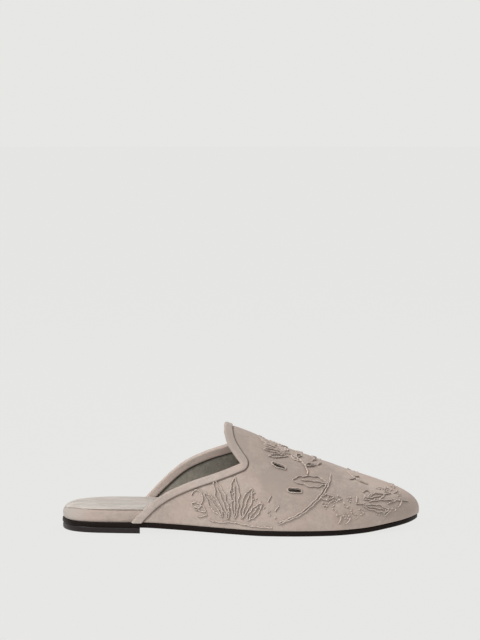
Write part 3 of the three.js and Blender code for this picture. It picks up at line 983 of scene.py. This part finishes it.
def throat_rise(last, side):
    """Rise of the line that meets the collar's edge in the throat."""
    corner = TOPLINE[side]
    return last.side_place(side, corner["along"][:1], corner["height"][:1])[1][0]


def rise_rows(last, count):
    """Rises from the sole to the crest, with the throats' own rises among them."""
    throats = [throat_rise(last, side) for side in SIDES]
    even = np.linspace(FOOT_RISE, 1, count)
    apart = np.abs(even[:, None] - throats).min(1) > THROAT_ROOM / count
    return np.sort(np.concatenate([even[apart], throats]))


def even_stations(last, count, steps=800):
    """Function from a station range to stations evenly spaced by length along the outer side."""
    station = np.linspace(0, 1, steps)
    line = last.skin(last.turn(LATERAL, station), MIDDLE_RISE)
    length = np.concatenate([[0], np.cumsum(np.linalg.norm(np.diff(line, axis=0), axis=1))])

    def spread(start):
        first = np.interp(start, station, length)
        shares = np.linspace(0, 1, count)
        return np.interp(lerp(first[..., None], length[-1], shares), length, station)

    return spread


def vamp_grid(last, rises, count, lap, inside):
    """Turns of a grid over the vamp: each row has one rise and runs from the collar on the outer
    side round the toe to the collar on the inner side, and reaches under the binding by a lap."""
    spread = even_stations(last, count)
    starts = []
    for side in SIDES:
        turn = last.collar_turn(side, rises, 1.0, inside, -lap)
        starts.append(2 * turn if side == LATERAL else 2 - 2 * turn)
    lateral = spread(starts[0]) / 2
    medial = 1 - spread(starts[1]) / 2
    return np.hstack([lateral, medial[:, -2::-1]])


def seam_distance(last, turn, points, inside):
    """Distance of skin points from the binding's seam on their own side of the shoe."""
    gap = np.empty(len(points))
    for side, mask in ((LATERAL, turn <= 0.5), (MEDIAL, turn > 0.5)):
        width = last.band_width(side, points[mask], inside)
        gap[mask] = np.abs(last.from_edge(side, points[mask]) - width)
    return gap


def vamp_sheet(last, rows, columns, lap, inside):
    """A sheet over the vamp: its points, normals and faces, and how far each point is from the
    binding's seam outside or inside the collar."""
    rises = rise_rows(last, rows)
    turn = vamp_grid(last, rises, columns, lap, inside)
    faces = grid_faces(*turn.shape)
    rise = np.broadcast_to(rises[:, None], turn.shape).ravel()
    turn = turn.ravel()
    skin = last.skin(turn, rise)
    kept, faces = weld(skin, faces, SKIN_WELD)
    turn, rise, skin = turn[kept], rise[kept], skin[kept]
    return skin, last.normal(turn, rise), faces, seam_distance(last, turn, skin, inside)


def nearest(points, targets, chunk=1500):
    """Distance from each point to the nearest target, worked out in blocks of points."""
    targets = targets.astype(np.float32)
    square = (targets**2).sum(1)
    blocks = []
    for start in range(0, len(points), chunk):
        block = points[start:start + chunk].astype(np.float32)
        gap = (block**2).sum(1)[:, None] + square - 2 * block @ targets.T
        blocks.append(gap.min(1))
    return np.sqrt(np.maximum(np.concatenate(blocks), 0))


def crease_depth(last, points):
    """Soft troughs on the vamp: for each, its depth times a Gaussian of the way along and across it,
    in its own directions on the skin."""
    depth = np.zeros(len(points))
    rise = CREASES["rise"] * PERCENT
    heading = np.radians(CREASES["heading"])[:, None]
    for side in SIDES:
        turn = last.turn_at(side, CREASES["along"], rise)
        _, _, first, second = last.directions(side, turn, rise)
        along = np.cos(heading) * first + np.sin(heading) * second
        across = np.cos(heading) * second - np.sin(heading) * first
        offset = points[:, None, :] - last.skin(turn, rise)
        u = (offset * along).sum(-1) / (CREASES["length"] * MM / 2)
        v = (offset * across).sum(-1) / (CREASES["width"] * MM / 2)
        w = np.linalg.norm(offset, axis=-1) / (CREASES["length"] * MM)
        depth += (CREASES["depth"] * MM * np.exp(-u**2 - v**2) * (w < 1.5)).sum(1)
    return depth


def nap_and_painted_shading(last, points):
    """Change of tone from the nap and from painted light and shade: for each place, its tone times a
    Gaussian of the distance.
    """
    tone = np.zeros(len(points))
    rise = NAP_AND_PAINTED_SHADING["rise"] * PERCENT
    for side in SIDES:
        centre = last.skin(last.turn_at(side, NAP_AND_PAINTED_SHADING["along"], rise), rise)
        distance = np.linalg.norm(points[:, None, :] - centre, axis=-1) / (NAP_AND_PAINTED_SHADING["reach"] * MM)
        tone += (NAP_AND_PAINTED_SHADING["tone"] * np.exp(-distance**2)).sum(1)
    return tone


def leaf_places(last, side, rows, way, aside):
    """Points beside leaves' midribs: way is the share of the length, aside the distance from a midrib
    that bends with the square of the way."""
    length = rows["length"][:, None] * MM
    u = way * length
    v = aside + rows["bend"][:, None] * length * way**2
    heading = np.radians(rows["heading"])[:, None]
    forwards = u * np.cos(heading) - v * np.sin(heading)
    upwards = u * np.sin(heading) + v * np.cos(heading)
    return last.chart(side, rows["along"], rows["rise"] * PERCENT, forwards, upwards)


def leaf_lines(last, side, steps):
    """Leaf outlines, out along one edge and back along the other: the half width is a half wave to a
    power, with a slight ripple."""
    way = np.linspace(0, 1, steps)
    out = np.minimum(2 * way, 2 - 2 * way)
    half = LEAVES["width"][:, None] * MM / 2 * np.sin(np.pi * out) ** 0.75
    wave = 2 * np.pi * way + LEAVES["along"][:, None]
    ripple = 1 + 0.14 * np.sin(3 * wave) + 0.1 * np.sin(7 * wave)
    return leaf_places(last, side, LEAVES, out, np.sign(0.5 - way) * half * ripple)


def vein_lines(last, side, steps):
    """Veins of the broad leaves, from near the base to near the tip."""
    broad = LEAVES["width"] >= VEINED_WIDTH
    rows = {key: values[broad] for key, values in LEAVES.items()}
    return leaf_places(last, side, rows, np.linspace(0.06, 0.78, steps), 0)


def blade_lines(last, side, steps):
    """Single curved strokes."""
    return leaf_places(last, side, BLADES, np.linspace(0, 1, steps), 0)


def stem_lines(last, side, steps):
    """Smooth stems through their rows."""
    lines = np.array([
        open_spline(np.column_stack([rows["along"], rows["rise"] * PERCENT]), np.linspace(0, 1, steps))
        for rows in STEMS
    ])
    return last.turn_at(side, lines[..., 0], lines[..., 1]), lines[..., 1]


def slit_outlines(last, side, steps, margin=0.0):
    """Turn, rise and normal of each slit's middle, and its outline, wider by a margin, as offsets
    from there: an oval with blunt ends, x = cos a and y = sin a to 0.6. The skin's two slopes are
    solved for the direction that shows the slit's tilt in side view."""
    rows = SLITS[side]
    turn, rise = last.side_place(side, rows["along"], rows["height"])
    up = last.normal(turn, rise)
    slopes = np.stack(last.slopes(turn, rise), -1)
    tilt = np.radians(rows["tilt"])
    shown = np.stack([np.cos(tilt), np.sin(tilt)], -1)[..., None]
    shares = np.linalg.solve(slopes[:, [0, 2]], shown)
    along = unit((slopes @ shares)[..., 0])
    across = np.cross(up, along)
    across = across * np.sign(across[:, 2:])
    angle = np.linspace(0, 2 * np.pi, steps)
    blunt = np.sign(np.sin(angle)) * np.abs(np.sin(angle)) ** 0.6
    u = np.cos(angle) * (last.sizes.slit_length / 2 + margin)
    v = blunt * (last.sizes.slit_width / 2 + margin)
    return turn, rise, up, u[:, None] * along[:, None] + v[:, None] * across[:, None]


def rim_lines(last, side, steps):
    """Rows of stitches round the slits, just outside their edge."""
    turn, rise, _, offset = slit_outlines(last, side, steps, RIM_GAP)
    basis = np.stack(last.slopes(turn, rise), -1)
    shares = np.linalg.pinv(basis)[:, None] @ offset[..., None]
    return turn[:, None] + shares[..., 0, 0], rise[:, None] + shares[..., 1, 0]


def knot_places(last, side):
    """Turn and rise of the knot stitches: a ring of petals round each blossom's middle, and knots that
    wind round each twig by the golden angle."""
    petals = BLOSSOMS["petals"].astype(int)
    flower = np.repeat(np.arange(len(petals)), petals + 1)
    order = np.arange(len(flower)) - (np.cumsum(petals + 1) - petals - 1)[flower]
    turned = order / petals[flower] * 2 * np.pi + BLOSSOMS["along"][flower]
    spread = BLOSSOMS["spread"][flower] * (0.85 + 0.3 * np.sin(3 * turned))
    twigs = np.vstack([
        open_spline(np.column_stack([rows["along"], rows["rise"]]), np.linspace(0, 1, TWIG_KNOTS))
        for rows in TWIGS
    ])
    golden = np.arange(len(twigs)) * np.pi * (3 - 5**0.5)
    along = np.concatenate([BLOSSOMS["along"][flower], twigs[:, 0]])
    rise = np.concatenate([BLOSSOMS["rise"][flower], twigs[:, 1]]) * PERCENT
    angle = np.concatenate([turned, golden])
    reach = np.concatenate([np.where(order > 0, spread, 0), np.full(len(twigs), 1.1)]) * MM
    turn, height = last.chart(
        side, along, rise, (np.cos(angle) * reach)[:, None], (np.sin(angle) * reach)[:, None]
    )
    return turn[:, 0], height[:, 0]


# Kinds of rows of stitches, with the number of points along each row.
THREAD_ROWS = (
    (leaf_lines, 140),
    (vein_lines, 50),
    (stem_lines, 120),
    (blade_lines, 36),
    (rim_lines, 56),
)


def thread_groups(last):
    """The skin's points and normals under each group of equally long rows of stitches."""
    groups = []
    for side in SIDES:
        for lines, steps in THREAD_ROWS:
            turn, rise = lines(last, side, steps)
            groups.append((last.skin(turn, rise), last.normal(turn, rise)))
    return groups


def tubes(centre, up, sizes, sides=8):
    """Closed tubes along rows of points: an ellipse round each point, flat against the skin, that
    swells and drifts from stitch to stitch with the length run and closes to a point at both ends.
    The third result is 1 on the side that faces down and to the toe, where painted shade lies,
    and -1 on the other, where a painted highlight lies."""
    lines, steps, _ = centre.shape
    along = unit(np.gradient(centre, axis=1))
    aside = unit(np.cross(up, along))
    run = np.linalg.norm(np.diff(centre, axis=1), axis=-1)
    phase = np.cumsum(np.pad(run, ((0, 0), (1, 0))), 1) / sizes.stitch_length * 2 * np.pi
    swell = 0.84 + 0.16 * np.cos(phase)
    swell[:, [0, -1]] = 0
    drift = sizes.stitch_drift * np.sin(phase * 0.37 + np.arange(lines)[:, None])
    angle = np.linspace(0, 2 * np.pi, sides, endpoint=False)[:, None]
    ring = (
        np.cos(angle) * aside[:, :, None] * sizes.thread_width / 2
        + np.sin(angle) * up[:, :, None] * sizes.thread_rise
    )
    spine = centre + drift[..., None] * aside
    points = spine[:, :, None] + swell[..., None, None] * ring
    shown = (aside @ PAINTED_SHADE_SIDE)[..., None] * np.cos(angle[:, 0])
    lip = np.sign(shown) * np.abs(shown) ** 0.6
    return points.reshape(-1, 3), many_grids(lines, steps, sides), lip.ravel()


def knots(centre, up, radius, rings=6, sides=8):
    """Small round knots of slightly different sizes on the skin: spheres pressed to two thirds of
    their height. The third result is as for the tubes."""
    polar = np.linspace(0, np.pi, rings)
    angle = np.linspace(0, 2 * np.pi, sides, endpoint=False)
    first = unit(np.cross(up, [0.3, 0.5, 0.8]))
    second = np.cross(up, first)
    level = np.cos(polar)[:, None] * 0.66 * np.ones(sides)
    east = np.sin(polar)[:, None] * np.cos(angle)
    north = np.sin(polar)[:, None] * np.sin(angle)
    size = radius * (0.85 + 0.25 * np.sin(1.7 * np.arange(len(centre))))[:, None, None, None]
    aside = east[..., None] * first[:, None, None] + north[..., None] * second[:, None, None]
    points = centre[:, None, None] + size * (aside + level[..., None] * up[:, None, None])
    lip = aside @ PAINTED_SHADE_SIDE
    return points.reshape(-1, 3), many_grids(len(centre), rings, sides), lip.ravel()


def joined(shapes):
    """Several sets of points and faces as one."""
    counts = np.cumsum([0] + [len(shape[0]) for shape in shapes])
    faces = [shape[1] + start for shape, start in zip(shapes, counts)]
    return np.vstack([shape[0] for shape in shapes]), np.vstack(faces)


def cut_slits(piece, last):
    """Cuts the slits through a wall: for each, a prism of its outline along the skin's normal, with
    ends that close to their middle."""
    shapes = []
    for side in SIDES:
        turn, rise, up, offset = slit_outlines(last, side, CUT_STEPS)
        centre = last.skin(turn, rise)[:, None]
        rim = centre + offset[:, :-1]
        middle = np.broadcast_to(centre, rim.shape)
        depth = CUT_REACH * up[:, None]
        rings = np.stack([middle - depth, rim - depth, rim + depth, middle + depth], 1)
        shapes.append((rings.reshape(-1, 3), many_grids(*rings.shape[:3])))
    points, faces = joined(shapes)
    kept, faces = weld(points, faces)
    cutter = make_piece("slit_cutter", points[kept], faces)
    step = piece.modifiers.new("slits", "BOOLEAN")
    step.operation = "DIFFERENCE"
    step.solver = "MANIFOLD"
    step.object = cutter
    bpy.context.view_layer.update()
    graph = bpy.context.evaluated_depsgraph_get()
    cut = bpy.data.meshes.new_from_object(piece.evaluated_get(graph))
    cut.materials.clear()
    if len(cut.polygons) < len(piece.data.polygons) / 2:
        raise RuntimeError("the slits could not be cut through " + piece.name)
    piece.modifiers.clear()
    piece.data = cut
    bpy.data.objects.remove(cutter)


def layer_piece(name, last, margin, bottom, top, edge, length=None, hollow=0.0):
    """A layer of the bottom: at each station the edge profile on both sides, lists of insets and
    shares of the thickness, and straight lines across the top and the underside. A layer of a given
    length ends in a breast that is hollowed by a parabola, hollow (1 - (2t - 1)^2) across it, and
    closed along its middle line."""
    inset, share = (np.array(column) for column in zip(*edge))
    sides = []
    for side in SIDES:
        end = 1 if length is None else last.station_at(side, length)
        station = np.linspace(0, end, LAYER_STATIONS)
        turn = last.turn(side, station)[:, None]
        line = closed_spline(last.knots, np.broadcast_to(turn, (LAYER_STATIONS, len(inset))))
        reach = margin(line[..., 0]) - inset * MM
        flat = line + last.outward(np.broadcast_to(turn, reach.shape)) * reach[..., None]
        z = lerp(bottom(flat[..., 0]), top(flat[..., 0]), share)
        sides.append(np.concatenate([flat, z[..., None]], -1))
    way = np.linspace(0, 1, LAYER_COLUMNS)[1:-1, None]
    over = lerp(sides[0][:, -1:, :], sides[1][:, -1:, :], way)
    over[..., 2] = top(over[..., 0])
    under = lerp(sides[1][:, :1, :], sides[0][:, :1, :], way)
    under[..., 2] = bottom(under[..., 0])
    breast = []
    if length is not None:
        bow = hollow * np.linspace(0, 1, LAYER_STATIONS)[:, None] * (1 - (2 * way[:, 0] - 1) ** 2)
        for line in (over, under):
            line[..., 0] -= bow
        ends = [np.repeat(side[-1:, len(inset) // 2], len(inset), 0) for side in sides]
        seam = lerp(over[-1], under[-1, ::-1], 0.5)
        breast = [np.vstack([ends[0], seam, ends[1], seam[::-1]])[None]]
    rows = np.concatenate([sides[0], over, sides[1][:, ::-1], under], 1)
    rows = np.concatenate([rows, *breast])
    points = rows.reshape(-1, 3) + last.shift
    kept, faces = weld(points, grid_faces(*rows.shape[:2], wrap=True))
    return make_piece(name, points[kept], faces, None, LAYER_CORNER)


def rounded_edge(low, high, bulge, steps=6):
    """Insets in millimetres and shares of the thickness of a soft edge: quarter waves in from low at
    the underside and high at the top, and a bulge between them."""
    share = np.concatenate([
        np.linspace(0, 0.3, steps), np.linspace(0.4, 0.6, 3), np.linspace(0.7, 1, steps)
    ])
    foot = low * np.clip(1 - share / 0.3, 0, 1) ** 2
    head = high * np.clip((share - 0.7) / 0.3, 0, 1) ** 2
    return list(zip(foot + head + bulge * (2 * share - 1) ** 2, share))


def crowned_edge(reach=9, steps=11):
    """Insets in millimetres and shares of the thickness of a padded edge: a short step at its foot,
    then a quarter oval in over the reach."""
    inset = np.linspace(0, 1, steps) ** 1.6 * reach
    share = 0.12 + 0.88 * np.sqrt(1 - (1 - inset / reach) ** 2)
    return [(0.8, 0), *zip(0.5 + inset, share)]


def everywhere(value):
    """A function that gives one value all along the foot."""
    return lambda x: np.full_like(x, value)


def settings():
    return bpy.context.scene.mule


class MULE_OT_upper(bpy.types.Operator):
    """Make the suede upper, drawn in along its binding's seam and under its stitches"""

    bl_idname = "mule.upper"
    bl_label = "Suede upper"

    def execute(self, context):
        sizes = settings().sizes
        stitches = settings().stitches
        last = Last(sizes)
        skin, up, faces, seam = vamp_sheet(last, rows=96, columns=205, lap=0.5 * MM, inside=False)
        threads = np.vstack([centre.reshape(-1, 3) for centre, _ in thread_groups(last)])
        knot_points = np.vstack([last.skin(*knot_places(last, side)) for side in SIDES])
        stitch = nearest(skin, np.vstack([threads, knot_points]))
        drawn = sizes.seam_depth * np.exp(-((seam / SEAM_REACH) ** 2))
        drawn += stitches.pucker * np.exp(-((stitch / stitches.pucker_reach) ** 2))
        drawn += crease_depth(last, skin)
        outer = skin - up * drawn[:, None]
        inner = skin - up * (sizes.upper_wall - sizes.lining_thickness)
        points, faces = wall(outer, inner, faces)
        # nap holds the nap's tone with painted light and shade; seam_gap and stitch_gap place painted
        # shade.
        fields = {"seam_gap": seam, "stitch_gap": stitch, "nap": nap_and_painted_shading(last, skin)}
        fields = {key: np.tile(values, 2) for key, values in fields.items()}
        piece = make_piece("suede_upper", points, faces, fields)
        cut_slits(piece, last)
        finish = suede("vamp_suede", settings().colours.suede, stitched=True, seamed=True)
        dress(piece, finish, "taupe_suede", "upper")
        return {"FINISHED"}


class MULE_OT_lining(bpy.types.Operator):
    """Make the lining that is bonded to the inside of the upper"""

    bl_idname = "mule.lining"
    bl_label = "Lining"

    def execute(self, context):
        sizes = settings().sizes
        last = Last(sizes)
        skin, up, faces, seam = vamp_sheet(last, rows=60, columns=110, lap=0.6 * MM, inside=True)
        sunk = LINING_SINK * np.exp(-((seam / SEAM_REACH) ** 2))
        outer = skin - up * (sizes.upper_wall - sizes.lining_thickness + BONDING)
        inner = skin - up * (sizes.upper_wall - sunk)[:, None]
        points, faces = wall(outer, inner, faces)
        piece = make_piece("lining", points, faces, {"seam_gap": np.tile(seam, 2)})
        cut_slits(piece, last)
        dress(piece, lining_leather("grey_lining", settings().colours.lining), "grey_lining")
        return {"FINISHED"}


class MULE_OT_binding(bpy.types.Operator):
    """Make the folded band round the collar's edge"""

    bl_idname = "mule.binding"
    bl_label = "Topline binding"

    def profile(self, sizes, distance, width, inside):
        """Height over the skin: a squarish quarter oval, (x^n + y^n)^(1/n) = 1, from the fold in the
        middle of the wall up to the band's face, and a smaller one down into the seam."""
        middle = sizes.upper_wall / 2
        fold = np.clip(distance / sizes.binding_roll, 0, 1)
        seam = np.clip((width - distance) / sizes.seam_roll, 0, 1)
        n = 2.5
        face = (middle + sizes.binding_rise) * (1 - (1 - fold) ** n) ** (1 / n)
        drop = (sizes.binding_rise + sizes.seam_depth) * (1 - (1 - (1 - seam) ** n) ** (1 / n))
        height = face - drop
        return -middle - height if inside else height - middle

    def line(self, last, side, rises, share, inside):
        """One line of the band, at a share of its width from the fold: its points, their distance
        from the seam, and the painted light that makes it lighter there inside the collar."""
        sizes = last.sizes
        turn = last.collar_turn(side, rises, share, inside)
        skin = last.skin(turn, rises)
        width = last.band_width(side, skin, inside)
        height = self.profile(sizes, share * width, width, inside)
        line = skin + last.normal(turn, rises) * height[:, None]
        line[0, 2] -= sizes.binding_hang * np.clip(height[0] / sizes.binding_rise, 0, 1)
        # Painted light: the band inside the collar is painted lighter where it lies in shade.
        pale = np.full(len(rises), INNER_PAINTED_LIGHT if inside else 0.0)
        return np.column_stack([line, (1 - share) * width, pale])

    def execute(self, context):
        last = Last(settings().sizes)
        rises = rise_rows(last, 130)
        # The lines lie closer together at the fold and at the seam.
        shares = np.concatenate([
            0.27 * (1 - np.cos(np.linspace(0, np.pi / 2, 9))),
            np.linspace(0.34, 0.76, 7),
            0.8 + 0.2 * np.sin(np.linspace(0, np.pi / 2, 8)),
        ])
        rows = []
        for side in SIDES:
            lines = [self.line(last, side, rises, share, False) for share in shares[::-1]]
            lines += [self.line(last, side, rises, share, True) for share in shares[1:]]
            row = np.stack(lines, 1)
            rows.append(row if side == LATERAL else row[-2::-1])
        band = np.concatenate(rows)
        # Both ends of the band close to their middle.
        caps = [np.repeat(end.mean(0)[None, None], band.shape[1], 1) for end in (band[0], band[-1])]
        band = np.concatenate([caps[0], band, caps[1]])
        values = band.reshape(-1, band.shape[2])
        kept, faces = weld(values[:, :3], grid_faces(*band.shape[:2], wrap=True), SKIN_WELD)
        points, gap, pale = np.split(values[kept], [3, 4], axis=1)
        # nap holds the nap's tone with painted light and shade, and the painted light inside the collar.
        fields = {"seam_gap": gap.ravel(), "nap": nap_and_painted_shading(last, points) + pale.ravel()}
        piece = make_piece("binding", points, faces, fields, BAND_CORNER)
        finish = suede("binding_suede", settings().colours.binding, seamed=True)
        dress(piece, finish, "binding_suede", "topline_binding")
        return {"FINISHED"}


class MULE_OT_embroidery(bpy.types.Operator):
    """Make the rows of stitches and the knots on the vamp"""

    bl_idname = "mule.embroidery"
    bl_label = "Embroidery"

    def execute(self, context):
        sizes = settings().stitches
        last = Last(settings().sizes)
        shapes = [tubes(centre, up, sizes) for centre, up in thread_groups(last)]
        for side in SIDES:
            turn, rise = knot_places(last, side)
            shapes.append(knots(last.skin(turn, rise), last.normal(turn, rise), sizes.knot_radius))
        points, faces = joined(shapes)
        # Painted shade and painted highlight on the threads' two sides, for the thread's material.
        lip = np.concatenate([shape[2] for shape in shapes])
        kept, faces = weld(points, faces)
        piece = make_piece("embroidery", points[kept], faces, {"lip": lip[kept]})
        dress(piece, thread("taupe_thread", settings().colours.thread), "taupe_thread")
        return {"FINISHED"}


class MULE_OT_footbed(bpy.types.Operator):
    """Make the padded footbed with suede wrapped round its side"""

    bl_idname = "mule.footbed"
    bl_label = "Wrapped footbed"

    def execute(self, context):
        last = Last(settings().sizes)
        piece = layer_piece(
            "wrapped_footbed",
            last,
            everywhere(0),
            lambda x: last.outsole_top(x) + BEDDING["footbed"],
            last.footbed_top,
            rounded_edge(0.4, 1.2, 0.4),
        )
        colours = settings().colours
        finish = suede("wrap_suede", colours.suede, 0.6, heel=colours.heel_wrap)
        dress(piece, finish, "taupe_suede", "footbed")
        return {"FINISHED"}


class MULE_OT_sock(bpy.types.Operator):
    """Make the thin padded sock on the footbed"""

    bl_idname = "mule.sock"
    bl_label = "Sock"

    def execute(self, context):
        sizes = settings().sizes
        last = Last(sizes)
        piece = layer_piece(
            "padded_sock",
            last,
            lambda x: sizes.sock_tuck * (soft_step(x, *SOCK_FADE) - 1),
            lambda x: last.footbed_top(x) + BEDDING["sock"],
            last.sock_top,
            crowned_edge(),
        )
        dress(piece, suede("sock_suede", settings().colours.sock, 0.3, 1.4), "sock_suede", "sock")
        return {"FINISHED"}


class MULE_OT_sole(bpy.types.Operator):
    """Make the leather outsole and the heel lift under it"""

    bl_idname = "mule.sole"
    bl_label = "Outsole and heel lift"

    def execute(self, context):
        sizes = settings().sizes
        last = Last(sizes)
        colours = settings().colours
        outsole = layer_piece(
            "leather_outsole",
            last,
            last.outsole_margin,
            last.outsole_bottom,
            last.outsole_top,
            rounded_edge(0.6, 0.25, 0.12),
        )
        dress(outsole, sole_leather("outsole_leather", colours.outsole, 0.03), "dark_leather", "outsole")
        lift = layer_piece(
            "leather_heel_lift",
            last,
            lambda x: last.outsole_margin(x) - sizes.gap,
            everywhere(0),
            everywhere(last.lift_height - BEDDING["lift"]),
            rounded_edge(0.45, 0.3, 0.1),
            sizes.heel_length,
            sizes.breast_hollow / 2,
        )
        dress(lift, sole_leather("lift_leather", colours.lift, 0.3), "dark_leather", "heel_lift")
        return {"FINISHED"}


class MULE_OT_studio(bpy.types.Operator):
    """Make the pale floor, the soft lights and the camera"""

    bl_idname = "mule.studio"
    bl_label = "Studio"

    def floor(self, colour, bounce):
        """A wide level disc, its rings closer together near the shoe."""
        radius = FLOOR_RADIUS * np.linspace(0, 1, FLOOR_RINGS)[:, None] ** 3
        angle = np.linspace(0, 2 * np.pi, FLOOR_SPOKES, endpoint=False)
        level = np.full((FLOOR_RINGS, FLOOR_SPOKES), -FLOOR_DROP)
        points = np.stack([radius * np.cos(angle), radius * np.sin(angle), level], -1).reshape(-1, 3)
        kept, faces = weld(points, grid_faces(FLOOR_RINGS, FLOOR_SPOKES, wrap=True))
        floor = make_piece("floor", points[kept], faces)
        material, shader, place = new_material(
            "pale_floor", {"Roughness": 0.9, "Specular IOR Level": 0.0, "Emission Strength": 1.0}
        )
        grain = place.noise(30, 2, 0.5)
        connect(
            shader,
            Base_Color=grain.tint(shade(colour, bounce), shade(colour, bounce * 1.02)),
            Emission_Color=grain.tint(shade(colour, 1 - bounce), shade(colour, 1.001 - bounce)),
        )
        floor.data.materials.append(material)

    def sky(self, colour, studio):
        """Even light that is as bright as the floor near the horizon and dimmer overhead."""
        world = bpy.data.worlds.new("studio")
        world.use_nodes = True
        tree = world.node_tree
        direction = Wire(tree).node("ShaderNodeTexCoord", {}, {}, "Generated")
        up = direction.node("ShaderNodeSeparateXYZ", {}, {0: direction}, "Z")
        share = up.between(*(math.sin(angle) for angle in SKY_FADE))
        tone = share.tint(shade(colour, 1.0), shade(colour, studio.overhead))
        tree.links.new(tone.socket, tree.nodes["Background"].inputs["Color"])
        bpy.context.scene.world = world

    def light(self, name, place, target, size, watts):
        data = bpy.data.lights.new(name, "AREA")
        data.shape = "DISK"
        data.size = size
        data.energy = watts
        lamp = bpy.data.objects.new(name, data)
        lamp.location = place
        lamp.rotation_euler = (Vector(target) - Vector(place)).to_track_quat("-Z", "Y").to_euler()
        bpy.context.scene.collection.objects.link(lamp)

    def camera(self, studio):
        """The shoe's origin lies below the picture's middle, so the camera looks above it: the aim is
        turned up by the angle of that many pixels."""
        below = studio.origin_pixel[1] - studio.pixels_high / 2
        aside = studio.origin_pixel[0] - studio.pixels_across / 2
        off_axis = math.atan2(below, studio.pixels_per_metre * studio.distance)
        focal = studio.pixels_per_metre * studio.distance * math.cos(off_axis)
        pitch = studio.elevation - math.atan2(below, focal)
        data = bpy.data.cameras.new("camera")
        data.sensor_fit = "VERTICAL"
        data.sensor_height = 24
        data.lens = focal / studio.pixels_high * data.sensor_height
        data.clip_start = 0.05
        data.clip_end = 200
        camera = bpy.data.objects.new("camera", data)
        back = studio.distance * math.cos(studio.elevation)
        lift = studio.distance * math.sin(studio.elevation)
        camera.location = (-aside / studio.pixels_per_metre, -back, lift)
        camera.rotation_euler = (math.pi / 2 - pitch, 0, 0)
        bpy.context.scene.collection.objects.link(camera)
        bpy.context.scene.camera = camera

    def execute(self, context):
        studio = settings().studio
        colour = settings().colours.floor
        self.floor(colour, studio.floor_bounce)
        self.sky(colour, studio)
        for name, (place, target, size) in LIGHTS.items():
            self.light(name, place, target, size, getattr(studio, name + "_power"))
        self.camera(studio)
        context.scene.view_settings.view_transform = "Standard"
        return {"FINISHED"}


PIECES = (
    MULE_OT_sole,
    MULE_OT_footbed,
    MULE_OT_sock,
    MULE_OT_lining,
    MULE_OT_upper,
    MULE_OT_binding,
    MULE_OT_embroidery,
    MULE_OT_studio,
)


class MULE_PT_panel(bpy.types.Panel):
    """Lists the pieces of the mule and its settings"""

    bl_idname = "MULE_PT_panel"
    bl_label = "Suede mule"
    bl_space_type = "VIEW_3D"
    bl_region_type = "UI"
    bl_category = "Mule"

    def draw(self, context):
        for operator in PIECES:
            self.layout.operator(operator.bl_idname)
        for group in ("sizes", "stitches", "colours", "studio"):
            box = self.layout.box()
            part = getattr(context.scene.mule, group)
            for key in part.__annotations__:
                box.prop(part, key)


CLASSES = (
    MuleSizes, EmbroiderySizes, MuleColours, StudioSettings, MuleSettings, *PIECES, MULE_PT_panel
)


def register():
    for item in CLASSES:
        bpy.utils.register_class(item)
    bpy.types.Scene.mule = PointerProperty(type=MuleSettings)


def unregister():
    del bpy.types.Scene.mule
    for item in reversed(CLASSES):
        bpy.utils.unregister_class(item)


def main():
    register()
    bpy.ops.mule.sole()
    bpy.ops.mule.footbed()
    bpy.ops.mule.sock()
    bpy.ops.mule.lining()
    bpy.ops.mule.upper()
    bpy.ops.mule.binding()
    bpy.ops.mule.embroidery()
    bpy.ops.mule.studio()


if __name__ == "__main__":
    main()
